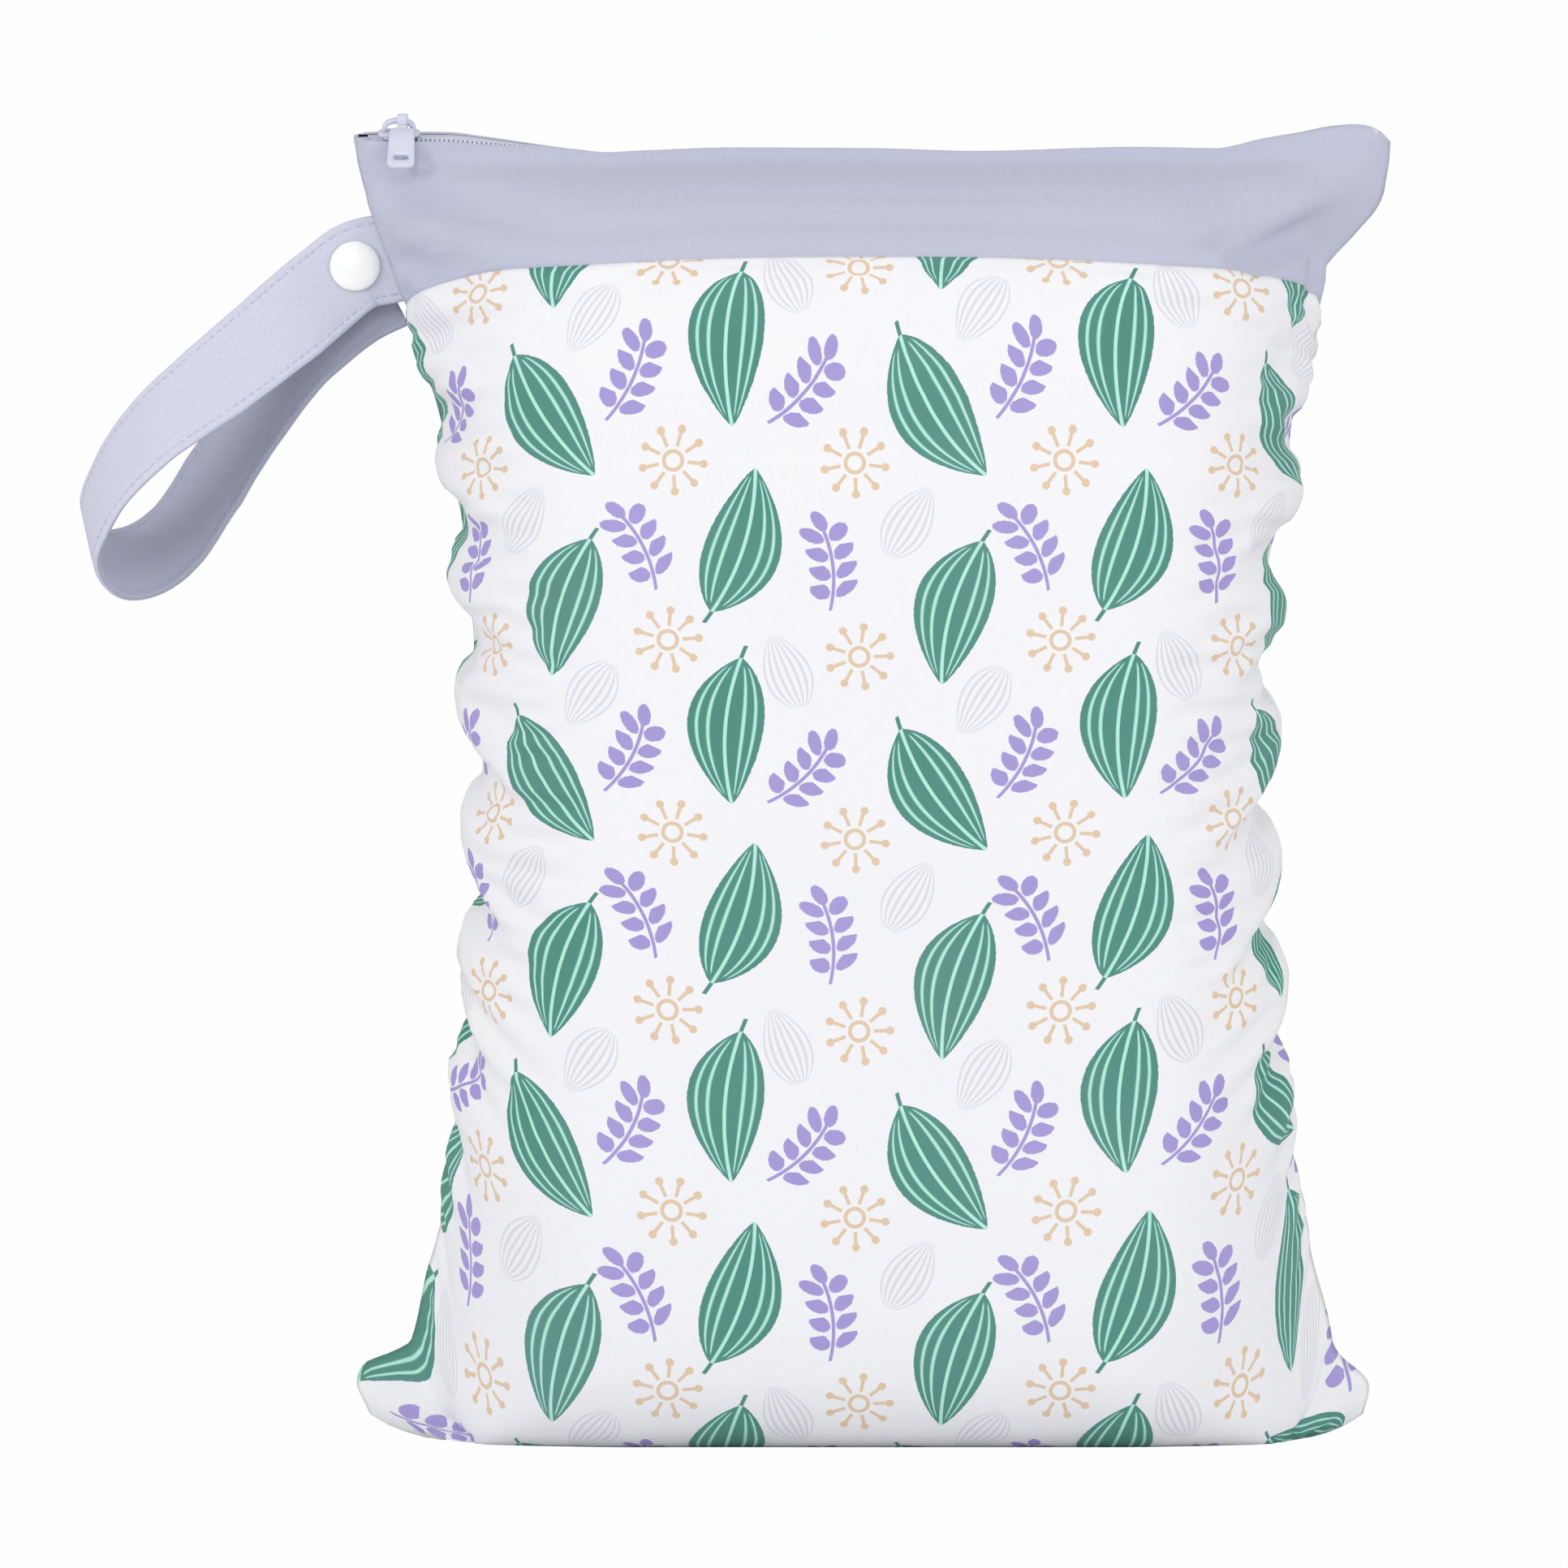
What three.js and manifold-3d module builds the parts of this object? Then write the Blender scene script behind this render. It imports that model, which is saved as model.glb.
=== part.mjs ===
// A stuffed cloth wet bag that stands on its folded bottom: a printed body, a plain band round the top,
// a zipper with a slider and a swinging pull, and a strap loop with a snap at the left end of the band.
// Millimetres. X runs across the bag, Y to the back and Z up. The origin is on the floor, mid bag.

import * as THREE from 'three';
import { mergeVertices } from 'three/addons/utils/BufferGeometryUtils.js';
import Module from 'manifold-3d';

const wasm = await Module();
wasm.setup();

// Driving sizes of the bag
const cutWidth = 300; // side seam to side seam, laid flat
const bodyCut = 385; // printed cloth from the bottom fold to the band
const bandCut = 50; // plain cloth from the body to the zipper
const bagHeight = 371.5; // floor to the middle of the zipper, stuffed
const stuffedDepth = 116; // front to back at the fullest part
const clothWall = 1.5; // laminated cloth with its turned edges
const sewnGap = 0.3; // between pieces that are sewn or fastened together

// Driving sizes of the zipper
const zipHalf = 7.5; // half the open top, where the zipper lies
const zipEndHalf = 5.3; // the same at the two ends of the zipper
const zipMargin = 6; // from the corner of the bag to the end of the tape
const tapeThick = 1;
const tapeRoom = 0.5; // beside the band's inner face
const tapeDrop = 0.7; // the tape's face below the band's edge
const chainWidth = 4.2;
const chainThick = 1.8;
const sliderLength = 12;
const sliderWidth = 7.6;
const sliderUnder = 5; // the narrower lower plate
const sliderPlate = 1;
const sliderFree = 0.45; // running clearance of the plates on the tape and the chain
const sliderInset = 13; // from the left corner to the slider's middle
const postLength = 2.4; // between the plates
const postInset = 0.4; // from the slider's blunt end
const bridgeBar = 1.4; // the bar that the pull swings on
const bridgeRise = 3.2; // the bar's axis above the slider's plate
const pullLength = 18.5;
const pullWidth = 8;
const pullThick = 1.3;
const pullEyeWall = 0.9;
const pullEyeWidth = 3.2;
const pullNeck = 1.6; // between the eye and the tab
const pullCorner = 2; // radius of the tab's corners
const pullSlot = 4.4; // the slot near the pull's free end
const pullShift = 1.1; // the pull hangs to the right of the slider's middle
const pullFree = 0.4; // running clearance of the pull's eye and of the pull above the cloth

// Driving sizes of the strap and its snap
const strapWidth = 26;
const strapThick = 2.4;
const strapReach = 86.6; // how far the loop stands out from the side seam
const strapDrop = 88; // how far the loop hangs below where it is sewn in
const strapSpread = 21; // how far the back leg of the loop stands behind the seam
const strapTuck = 4; // how much of the sewn end lies inside the seam
const strapAtShare = 1.3; // where it is sewn in: 1 is the band's lower edge, 2 the zipper
const snapDiameter = 14.5;
const snapDome = 2.2;
const snapFromSeam = 11;
const snapSeat = 0.5; // between a snap piece and the strap, which bends a little under it

// The side seams. level is 0 at the bottom fold, 1 at the band's lower edge and 2 at the zipper;
// left and right are shares of half the cut width.
const sideOutline = [
  { level: 0, left: 0.959, right: 0.945 },
  { level: 0.02, left: 0.981, right: 0.957 },
  { level: 0.036, left: 0.986, right: 0.947 },
  { level: 0.052, left: 0.966, right: 0.912 },
  { level: 0.066, left: 0.915, right: 0.893 },
  { level: 0.085, left: 0.886, right: 0.885 },
  { level: 0.13, left: 0.857, right: 0.866 },
  { level: 0.2, left: 0.826, right: 0.834 },
  { level: 0.3, left: 0.802, right: 0.807 },
  { level: 0.42, left: 0.767, right: 0.779 },
  { level: 0.55, left: 0.756, right: 0.759 },
  { level: 0.65, left: 0.77, right: 0.76 },
  { level: 0.75, left: 0.789, right: 0.778 },
  { level: 0.84, left: 0.812, right: 0.816 },
  { level: 0.92, left: 0.85, right: 0.835 },
  { level: 1, left: 0.89, right: 0.864 },
  { level: 1.2, left: 0.91, right: 0.868 },
  { level: 1.38, left: 0.93, right: 0.905 },
  { level: 1.55, left: 0.95, right: 0.968 },
  { level: 1.7, left: 0.972, right: 0.995 },
  { level: 1.85, left: 0.988, right: 1 },
  { level: 2, left: 0.992, right: 1 },
];

// The middle of the front and of the back. depth is a share of half the stuffed depth and rise a share
// of the bag's height; hold is the share of the width that lies as level as the middle does.
const middleProfile = [
  { level: 0, depth: 0, rise: 0, hold: 0.76 },
  { level: 0.035, depth: 0.23, rise: 0, hold: 0.76 },
  { level: 0.07, depth: 0.46, rise: 0, hold: 0.76 },
  { level: 0.1, depth: 0.65, rise: 0.008, hold: 0.72 },
  { level: 0.13, depth: 0.8, rise: 0.029, hold: 0.66 },
  { level: 0.165, depth: 0.9, rise: 0.06, hold: 0.52 },
  { level: 0.22, depth: 0.965, rise: 0.115, hold: 0.34 },
  { level: 0.32, depth: 1, rise: 0.215, hold: 0.1 },
  { level: 0.5, depth: 1, rise: 0.4, hold: 0 },
  { level: 0.7, depth: 0.99, rise: 0.6, hold: 0 },
  { level: 0.85, depth: 0.94, rise: 0.752, hold: 0 },
  { level: 1, depth: 0.76, rise: 0.907, hold: 0 },
  { level: 1.5, depth: 0.45, rise: 0.962, hold: 0 },
  { level: 2, depth: 0, rise: 1, hold: 0 },
];

// The zipper's line from the left corner to the right one. lift is a share of the band's cut above the
// middle, and lean is how far the zipper tips to the front, as a share of a right angle.
const zipperLine = [
  { across: -1, lift: 0.08, lean: 0.22 },
  { across: -0.82, lift: 0.075, lean: 0.22 },
  { across: -0.74, lift: 0.056, lean: 0.17 },
  { across: -0.66, lift: 0.032, lean: 0.11 },
  { across: -0.58, lift: 0.01, lean: 0.05 },
  { across: -0.5, lift: -0.018, lean: 0.02 },
  { across: -0.43, lift: -0.012, lean: 0 },
  { across: -0.27, lift: 0.004, lean: 0 },
  { across: 0, lift: 0, lean: 0 },
  { across: 0.2, lift: -0.016, lean: 0 },
  { across: 0.51, lift: 0.008, lean: 0 },
  { across: 0.66, lift: 0.005, lean: 0.02 },
  { across: 0.75, lift: 0.064, lean: 0.05 },
  { across: 0.83, lift: 0.102, lean: 0.07 },
  { across: 0.89, lift: 0.136, lean: 0.08 },
  { across: 0.94, lift: 0.146, lean: 0.08 },
  { across: 0.98, lift: 0.112, lean: 0.08 },
  { across: 1, lift: 0.05, lean: 0.08 },
];

// Dents and creases pressed into one face, from one end to the other. face is -1 for the front and 1 for
// the back; width and depth are shares of the band's cut, and a negative depth stands out.
const creases = [
  { face: -1, across: -1.0, level: 1.52, toAcross: -0.62, toLevel: 1.0, width: 0.2, depth: 0.1 },
  { face: -1, across: -0.92, level: 1.12, toAcross: -0.66, toLevel: 0.86, width: 0.2, depth: -0.06 },
  { face: -1, across: 1.0, level: 1.34, toAcross: 0.7, toLevel: 1.06, width: 0.18, depth: 0.1 },
  { face: -1, across: 1.0, level: 1.1, toAcross: 0.8, toLevel: 0.9, width: 0.16, depth: 0.07 },
  { face: -1, across: -0.84, level: 0.0, toAcross: -0.86, toLevel: 0.1, width: 0.18, depth: 0.09 },
  { face: 1, across: -1.0, level: 1.42, toAcross: -0.6, toLevel: 1.02, width: 0.2, depth: 0.09 },
  { face: 1, across: 1.0, level: 1.4, toAcross: 0.6, toLevel: 0.98, width: 0.2, depth: 0.09 },
  { face: 1, across: 0.88, level: 0.0, toAcross: 0.84, toLevel: 0.12, width: 0.2, depth: 0.07 },
];

// Gathers along the side seams, where the cloth is longer than the stuffed side. They run in from the
// seam on both faces; slant is the change of level over that run, and reach is a share of half the width.
const gathers = [
  { side: -1, level: 0.17, slant: 0.03, reach: 0.3, depth: 0.05 },
  { side: -1, level: 0.27, slant: 0.02, reach: 0.34, depth: 0.06 },
  { side: -1, level: 0.37, slant: 0.0, reach: 0.3, depth: 0.05 },
  { side: -1, level: 0.49, slant: -0.01, reach: 0.36, depth: 0.07 },
  { side: -1, level: 0.6, slant: 0.01, reach: 0.3, depth: 0.05 },
  { side: -1, level: 0.71, slant: 0.0, reach: 0.34, depth: 0.06 },
  { side: -1, level: 0.81, slant: -0.03, reach: 0.36, depth: 0.06 },
  { side: -1, level: 0.91, slant: -0.04, reach: 0.3, depth: 0.05 },
  { side: 1, level: 0.14, slant: 0.03, reach: 0.32, depth: 0.05 },
  { side: 1, level: 0.24, slant: 0.02, reach: 0.3, depth: 0.05 },
  { side: 1, level: 0.35, slant: 0.02, reach: 0.34, depth: 0.06 },
  { side: 1, level: 0.46, slant: 0.0, reach: 0.38, depth: 0.08 },
  { side: 1, level: 0.57, slant: -0.02, reach: 0.38, depth: 0.08 },
  { side: 1, level: 0.68, slant: 0.02, reach: 0.3, depth: 0.05 },
  { side: 1, level: 0.78, slant: 0.0, reach: 0.34, depth: 0.07 },
  { side: 1, level: 0.89, slant: -0.04, reach: 0.34, depth: 0.07 },
];
const gatherWidth = 0.034; // as a share of the body's height

// The strap's middle line from its front end round the loop to its back end. out, down and back are
// shares of the strap's reach, drop and spread; turn is how far its width leans to the front, in degrees.
const strapRoute = [
  { out: 0, down: 0, back: 0, turn: 0 },
  { out: 0.109, down: 0.026, back: -0.02, turn: 3 },
  { out: 0.216, down: 0.105, back: -0.08, turn: 5 },
  { out: 0.347, down: 0.22, back: -0.28, turn: 10 },
  { out: 0.547, down: 0.386, back: -0.52, turn: 21 },
  { out: 0.79, down: 0.583, back: -0.6, turn: 35 },
  { out: 0.929, down: 0.744, back: -0.41, turn: 41 },
  { out: 1.001, down: 0.905, back: 0.02, turn: 43 },
  { out: 0.945, down: 0.997, back: 0.5, turn: 39 },
  { out: 0.839, down: 0.982, back: 0.89, turn: 36 },
  { out: 0.735, down: 0.904, back: 1.04, turn: 31 },
  { out: 0.609, down: 0.725, back: 1, turn: 25 },
  { out: 0.464, down: 0.51, back: 0.74, turn: 22 },
  { out: 0.287, down: 0.277, back: 0.34, turn: 9 },
  { out: 0.14, down: 0.152, back: 0.29, turn: 5 },
  { out: 0.012, down: 0.086, back: 0.29, turn: 3 },
];
const strapLeanShare = 0.3; // the slope of the strap's width: across per unit down
const strapSteps = 46;

// How finely the cloth is divided
const acrossSteps = 26;
const bodyLevels = [0.022, 0.045, 0.07, 0.09, 0.11, 0.135, 0.16, 0.19, 0.225, 0.26, 0.3, 0.335, 0.37, 0.41,
  0.45, 0.49, 0.53, 0.57, 0.61, 0.65, 0.69, 0.73, 0.77, 0.81, 0.85, 0.89, 0.93, 0.965];
const bandLevels = [1.14, 1.3, 1.46, 1.62, 1.78, 1.9];
const lastLevel = 2;
const flatShare = 0.43; // the middle of a section that stays flat
const handWidth = 0.036; // how far the blunt end of the zipper reaches in from each corner

const lerp = THREE.MathUtils.lerp;
const clamp = THREE.MathUtils.clamp;
const smooth = THREE.MathUtils.smoothstep;
const half = cutWidth / 2;
const halfDepth = stuffedDepth / 2;
const seamHalf = clothWall + sewnGap / 2;

// A smooth curve through one column of a table, with no overshoot between rows.
function follow(table, key, column) {
  const at = table.map((row) => row[key]);
  const value = table.map((row) => row[column]);
  const slope = at.slice(1).map((a, i) => (value[i + 1] - value[i]) / (a - at[i]));
  const tangent = at.map((_, i) => {
    if (i === 0 || i === at.length - 1) return slope[Math.min(i, slope.length - 1)];
    const [before, after] = [slope[i - 1], slope[i]];
    return before * after <= 0 ? 0 : (2 * before * after) / (before + after);
  });
  return (t) => {
    let i = 0;
    while (i < at.length - 2 && t > at[i + 1]) i += 1;
    const span = at[i + 1] - at[i];
    const s = clamp((t - at[i]) / span, 0, 1);
    const [s2, s3] = [s * s, s * s * s];
    return value[i] * (2 * s3 - 3 * s2 + 1) + tangent[i] * span * (s3 - 2 * s2 + s)
      + value[i + 1] * (3 * s2 - 2 * s3) + tangent[i + 1] * span * (s3 - s2);
  };
}

const leftShare = follow(sideOutline, 'level', 'left');
const rightShare = follow(sideOutline, 'level', 'right');
const middleDepth = follow(middleProfile, 'level', 'depth');
const middleRise = follow(middleProfile, 'level', 'rise');
const middleHold = follow(middleProfile, 'level', 'hold');
const zipperLift = follow(zipperLine, 'across', 'lift');
const zipperLean = follow(zipperLine, 'across', 'lean');
const cornerRise = 0.0215 * bagHeight; // the end of the bottom fold above the floor
const sideSeamRise = 0.877 * bagHeight; // the band's lower edge at the side seams
const heightPower = 2.5;

// The angle that a section turns through when a strip of cloth is drawn in to the given share of its cut.
function turnFor(share) {
  const wanted = clamp((share - flatShare) / (1 - flatShare), 0.3, 0.9999);
  let [low, high] = [0.001, 2.6];
  for (let i = 0; i < 40; i += 1) {
    const middle = (low + high) / 2;
    if (Math.sin(middle) / middle > wanted) low = middle;
    else high = middle;
  }
  return (low + high) / 2;
}

// The line of the zipper: its middle point and the two directions across it, for any place along it.
function zipperFrame(across) {
  const reach = half * (across < 0 ? leftShare(lastLevel) : rightShare(lastLevel));
  const lean = (zipperLean(across) * Math.PI) / 2;
  return {
    middle: new THREE.Vector3(across * reach, 0, bagHeight + zipperLift(across) * bandCut),
    toBack: new THREE.Vector3(0, Math.cos(lean), Math.sin(lean)),
    outward: new THREE.Vector3(0, -Math.sin(lean), Math.cos(lean)),
    lean,
  };
}

// Half the width of the open top: the seams at the corners, and blunt just inside them.
function openHalf(across) {
  const blunt = smooth(1 - Math.abs(across), 0, handWidth);
  return lerp(seamHalf, lerp(zipHalf, zipEndHalf, across * across), Math.sqrt(blunt));
}

// How far each seam edge parts to let the strap's sewn end in between.
function strapRoom(across, level) {
  if (across >= 0) return 0;
  const halfSpan = (0.5 * strapWidth + 2 * sewnGap) / bandCut;
  const near = 1 - smooth(Math.abs(level - strapAtShare), halfSpan, halfSpan * 1.6);
  return near * (strapThick / 2 + sewnGap) * smooth(-across, 0.8, 0.97);
}

// Half the thickness of the side seam: a blunt section needs less room for its cloth than a flat one.
function edgeHalf(across, level, turn) {
  const folded = sewnGap / 2 + clothWall * Math.max(0.25, Math.cos(turn));
  return folded * Math.min(1, Math.sqrt(level / 0.03)) + strapRoom(across, level);
}

// How far the cloth is pressed in at a place, in millimetres.
function pressed(across, level, face) {
  const alongCut = (l) => (l < 1 ? (l - 1) * bodyCut : (l - 1) * bandCut);
  const [x, y] = [across * half, alongCut(level)];
  let depth = 0;
  for (const c of creases) {
    if (c.face !== face) continue;
    const from = [c.across * half, alongCut(c.level)];
    const run = [c.toAcross * half - from[0], alongCut(c.toLevel) - from[1]];
    const length = Math.hypot(...run);
    const along = ((x - from[0]) * run[0] + (y - from[1]) * run[1]) / length;
    const away = ((x - from[0]) * run[1] - (y - from[1]) * run[0]) / length;
    const start = smooth(along, -0.25 * length, 0.3 * length);
    const fade = start * (1 - smooth(along, 0.6 * length, 1.15 * length));
    depth += c.depth * bandCut * fade * Math.exp(-((away / (c.width * bandCut)) ** 2));
  }
  const atSeam = 1 - smooth(Math.abs(across), 0.9, 1);
  depth *= atSeam;
  for (const g of gathers) {
    if (g.side * across < 0) continue;
    const inward = 1 - Math.abs(across);
    const away = (level - g.level - (g.slant * inward) / g.reach) / gatherWidth;
    depth += g.depth * bandCut * Math.exp(-away * away) * (1 - smooth(inward, 0, g.reach));
  }
  return depth;
}

// A point on the outside of the cloth. across is -1 at the left seam and 1 at the right one.
function clothPoint(across, level, face) {
  const share = across < 0 ? leftShare(level) : rightShare(level);
  const size = Math.abs(across);
  const turn = turnFor(share);
  const arc = clamp((size - flatShare) / (1 - flatShare), 0, 1) * turn;
  const span = size < flatShare ? size : flatShare + ((1 - flatShare) * Math.sin(arc)) / turn;
  const side = Math.sign(across);
  const section = 1 - (1 - Math.cos(arc)) / (1 - Math.cos(turn));

  const top = zipperFrame(across);
  const edge = top.middle.clone().addScaledVector(top.toBack, face * openHalf(across));
  const upper = smooth(level, 1.45, lastLevel);

  const drop = clamp((size - middleHold(level)) / (1 - middleHold(level)), 0, 1) ** heightPower;
  const sideRise = level < 1
    ? lerp(cornerRise, sideSeamRise, level)
    : lerp(sideSeamRise, edge.z, level - 1);
  const middleTop = zipperFrame(0).middle.z;
  const lifted = level < 1 ? 0 : (edge.z - middleTop) * (level - 1);
  const z = lerp(middleRise(level) * bagHeight + lifted, sideRise, drop);

  const middleY = middleDepth(level) * halfDepth + zipHalf * smooth(level, 1, lastLevel);
  const edgeY = edgeHalf(across, level, turn);
  const lens = edgeY + Math.max(0, middleY - edgeY) * section;
  const y = lerp(face * lens, edge.y, upper ** 2);
  const point = new THREE.Vector3(side * span * half, y, z);
  const dent = pressed(across, level, face) * (1 - upper ** 2) * smooth(level, 0, 0.06);
  point.x -= side * Math.sin(arc) * dent;
  point.y -= face * Math.cos(arc) * dent;
  return point;
}

// The cloth's outward direction at a place.
function clothNormal(across, level, face) {
  const [da, dl] = [0.004, 0.004];
  const alongAcross = clothPoint(Math.min(across + da, 1), level, face)
    .sub(clothPoint(Math.max(across - da, -1), level, face));
  const alongLevel = clothPoint(across, Math.min(level + dl, lastLevel), face)
    .sub(clothPoint(across, Math.max(level - dl, 0), face));
  const normal = alongAcross.cross(alongLevel).multiplyScalar(-face).normalize();
  if (level === 0) normal.setY(0).normalize();
  return normal;
}

// The same place on the inside of the cloth, kept clear of the opposite face.
function liningPoint(across, level, face) {
  const outer = clothPoint(across, level, face);
  const inner = outer.clone().addScaledVector(clothNormal(across, level, face), -clothWall);
  const apart = outer.clone().sub(clothPoint(across, level, -face)).multiplyScalar(0.5);
  if (apart.length() < sewnGap) return inner;
  const middle = outer.clone().sub(apart);
  const way = apart.normalize();
  const short = sewnGap / 2 - inner.clone().sub(middle).dot(way);
  return short > 0 ? inner.addScaledVector(way, short) : inner;
}

// One closed body from vertices and triangles, with equal vertices joined and flat slivers dropped.
function closedBody(points, faces) {
  const flat = new THREE.BufferGeometry();
  flat.setAttribute('position', new THREE.Float32BufferAttribute(points.flatMap((p) => p.toArray()), 3));
  flat.setIndex(faces.flat());
  const merged = mergeVertices(flat, 1e-4);
  const index = merged.getIndex().array;
  const kept = [];
  for (let i = 0; i < index.length; i += 3) {
    const [a, b, c] = index.slice(i, i + 3);
    if (a !== b && b !== c && c !== a) kept.push(a, b, c);
  }
  merged.setIndex(kept);
  return merged;
}

// A wall between two grids of points, outer and inner, each a list of rows. ring joins the row's ends.
function wallBetween(outer, inner, ring) {
  const [rows, columns] = [outer.length, outer[0].length];
  const points = [...outer.flat(), ...inner.flat()];
  const at = (layer, r, c) => layer * rows * columns + r * columns + (c % columns);
  const faces = [];
  const quad = (a, b, c, d) => faces.push([a, b, c], [a, c, d]);
  const last = ring ? columns : columns - 1;
  for (let r = 0; r < rows - 1; r += 1) {
    for (let c = 0; c < last; c += 1) {
      quad(at(0, r, c), at(0, r, c + 1), at(0, r + 1, c + 1), at(0, r + 1, c));
      quad(at(1, r, c), at(1, r + 1, c), at(1, r + 1, c + 1), at(1, r, c + 1));
    }
    if (!ring) {
      quad(at(0, r, 0), at(0, r + 1, 0), at(1, r + 1, 0), at(1, r, 0));
      quad(at(0, r + 1, last), at(0, r, last), at(1, r, last), at(1, r + 1, last));
    }
  }
  for (let c = 0; c < last; c += 1) {
    quad(at(0, rows - 1, c), at(0, rows - 1, c + 1), at(1, rows - 1, c + 1), at(1, rows - 1, c));
    if (!ring) quad(at(0, 0, c + 1), at(0, 0, c), at(1, 0, c), at(1, 0, c + 1));
  }
  return closedBody(points, faces);
}

// The places across a face, a little closer together where the cloth turns.
function acrossPlaces() {
  const places = [];
  for (let i = 0; i <= acrossSteps; i += 1) {
    const t = (2 * i) / acrossSteps - 1;
    places.push(1.2 * t - 0.2 * t * t * t);
  }
  return places;
}

// The same with closer places at the corners, where the zipper's line bends.
function bandPlaces() {
  const places = acrossPlaces();
  places.splice(1, 0, -1 + handWidth / 4, -1 + handWidth / 2, -1 + handWidth);
  places.splice(places.length - 1, 0, 1 - handWidth, 1 - handWidth / 2, 1 - handWidth / 4);
  return places;
}

// The printed body: one cloth folded at the bottom and closed at both side seams, open at the top.
function bodyShell() {
  const levels = [0, ...bodyLevels, 1 - sewnGap / 2 / bodyCut];
  const ringAt = (level, surface, depth) => {
    const row = [];
    for (const face of [-1, 1]) {
      const places = acrossPlaces();
      if (face > 0) places.reverse();
      for (const across of places) row.push(surface(across, level, face));
      const side = -face;
      const nose = clothPoint(side, level, -1).setY(0);
      nose.x += side * (sewnGap - depth);
      if (level === 0) nose.copy(row[row.length - 1]);
      row.push(nose);
    }
    return row;
  };
  const outer = levels.map((level) => ringAt(level, clothPoint, 0));
  const inner = levels.map((level) => ringAt(level, liningPoint, clothWall));
  return wallBetween(outer, inner, true);
}

// One face of the plain band, from the body's edge to the zipper.
function bandFace(face) {
  const levels = [1 + sewnGap / 2 / bandCut, ...bandLevels, lastLevel];
  const places = bandPlaces();
  if (face > 0) places.reverse();
  const rowsOf = (surface) => levels.map((level) => places.map((across) => surface(across, level, face)));
  return wallBetween(rowsOf(clothPoint), rowsOf(liningPoint), false);
}

// A strip that follows the zipper's line: corners lists its section as [towards the back, outward].
function zipperStrip(fromX, toX, corners) {
  const shareOf = (x) => x / (half * (x < 0 ? leftShare(lastLevel) : rightShare(lastLevel)));
  const [from, to] = [shareOf(fromX), shareOf(toX)];
  const inside = bandPlaces().filter((across) => across > from + 0.005 && across < to - 0.005);
  return sweptLoops([from, ...inside, to].map((across) => {
    const frame = zipperFrame(across);
    return corners(across).map(([back, out]) => frame.middle.clone()
      .addScaledVector(frame.toBack, back).addScaledVector(frame.outward, out));
  }));
}

// A closed body through a list of loops, capped at both ends.
function sweptLoops(loops) {
  const sides = loops[0].length;
  const faces = [];
  for (let i = 0; i < loops.length - 1; i += 1) {
    for (let c = 0; c < sides; c += 1) {
      const [a, b] = [i * sides + c, i * sides + ((c + 1) % sides)];
      faces.push([a, b, b + sides], [a, b + sides, a + sides]);
    }
  }
  const end = (loops.length - 1) * sides;
  for (let c = 1; c < sides - 1; c += 1) faces.push([0, c + 1, c], [end, end + c, end + c + 1]);
  return closedBody(loops.flat(), faces);
}

const leftCorner = -half * leftShare(lastLevel);
const rightCorner = half * rightShare(lastLevel);
const sliderX = leftCorner + sliderInset;
const chainStart = sliderX - sliderLength / 2 + postInset + postLength + sliderFree;

// How much room the band's inner face leaves beside the zipper's line, over the depth of the tape.
function bandRoom(across, face) {
  const frame = zipperFrame(across);
  const beside = (level) => liningPoint(across, level, face).sub(frame.middle).dot(frame.toBack) * face;
  return Math.min(beside(lastLevel), beside(lastLevel - (tapeDrop + tapeThick) / bandCut));
}

// The tape's face lies a little below the band's edge, between the chain and the band.
function zipperTape(face) {
  const corners = (across) => {
    const inner = face * (chainWidth / 2 + sewnGap);
    const outer = face * (bandRoom(across, face) - tapeRoom);
    const under = -tapeDrop - tapeThick;
    const section = [[inner, under], [outer, under], [outer, -tapeDrop], [inner, -tapeDrop]];
    return face > 0 ? section : section.reverse();
  };
  return zipperStrip(leftCorner + zipMargin, rightCorner - zipMargin, corners);
}

// The closed chain of teeth, low and slightly crowned.
function zipperChain() {
  const [w, base] = [chainWidth / 2, -tapeDrop - tapeThick];
  const corners = () => [[-w, base], [w, base], [w, base + 0.6 * chainThick], [0.6 * w, base + chainThick],
    [-0.6 * w, base + chainThick], [-w, base + 0.6 * chainThick]];
  return zipperStrip(chainStart, rightCorner - zipMargin, corners);
}

const solidOf = (geometry) => {
  const bare = geometry.clone();
  for (const name of ['normal', 'uv']) bare.deleteAttribute(name);
  const merged = mergeVertices(bare, 1e-4);
  return new wasm.Manifold(new wasm.Mesh({
    numProp: 3,
    vertProperties: new Float32Array(merged.getAttribute('position').array),
    triVerts: new Uint32Array(merged.getIndex().array),
  }));
};

const geometryOf = (solid) => {
  const mesh = solid.getMesh();
  const geometry = new THREE.BufferGeometry();
  geometry.setAttribute('position', new THREE.BufferAttribute(new Float32Array(mesh.vertProperties), 3));
  geometry.setIndex([...mesh.triVerts]);
  return geometry;
};

// A flat shape of the given thickness, centred on its own plane.
function slab(shape, thick) {
  const options = { depth: thick, bevelEnabled: false, curveSegments: 6 };
  return new THREE.ExtrudeGeometry(shape, options).translate(0, 0, -thick / 2);
}

function roundedShape(width, height, radius) {
  const [w, h] = [width / 2, height / 2];
  const shape = new THREE.Shape();
  shape.moveTo(-w + radius, -h);
  shape.lineTo(w - radius, -h).absarc(w - radius, -h + radius, radius, -Math.PI / 2, 0, false);
  shape.lineTo(w, h - radius).absarc(w - radius, h - radius, radius, 0, Math.PI / 2, false);
  shape.lineTo(-w + radius, h).absarc(-w + radius, h - radius, radius, Math.PI / 2, Math.PI, false);
  shape.lineTo(-w, -h + radius).absarc(-w + radius, -h + radius, radius, Math.PI, 1.5 * Math.PI, false);
  return shape;
}

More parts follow.
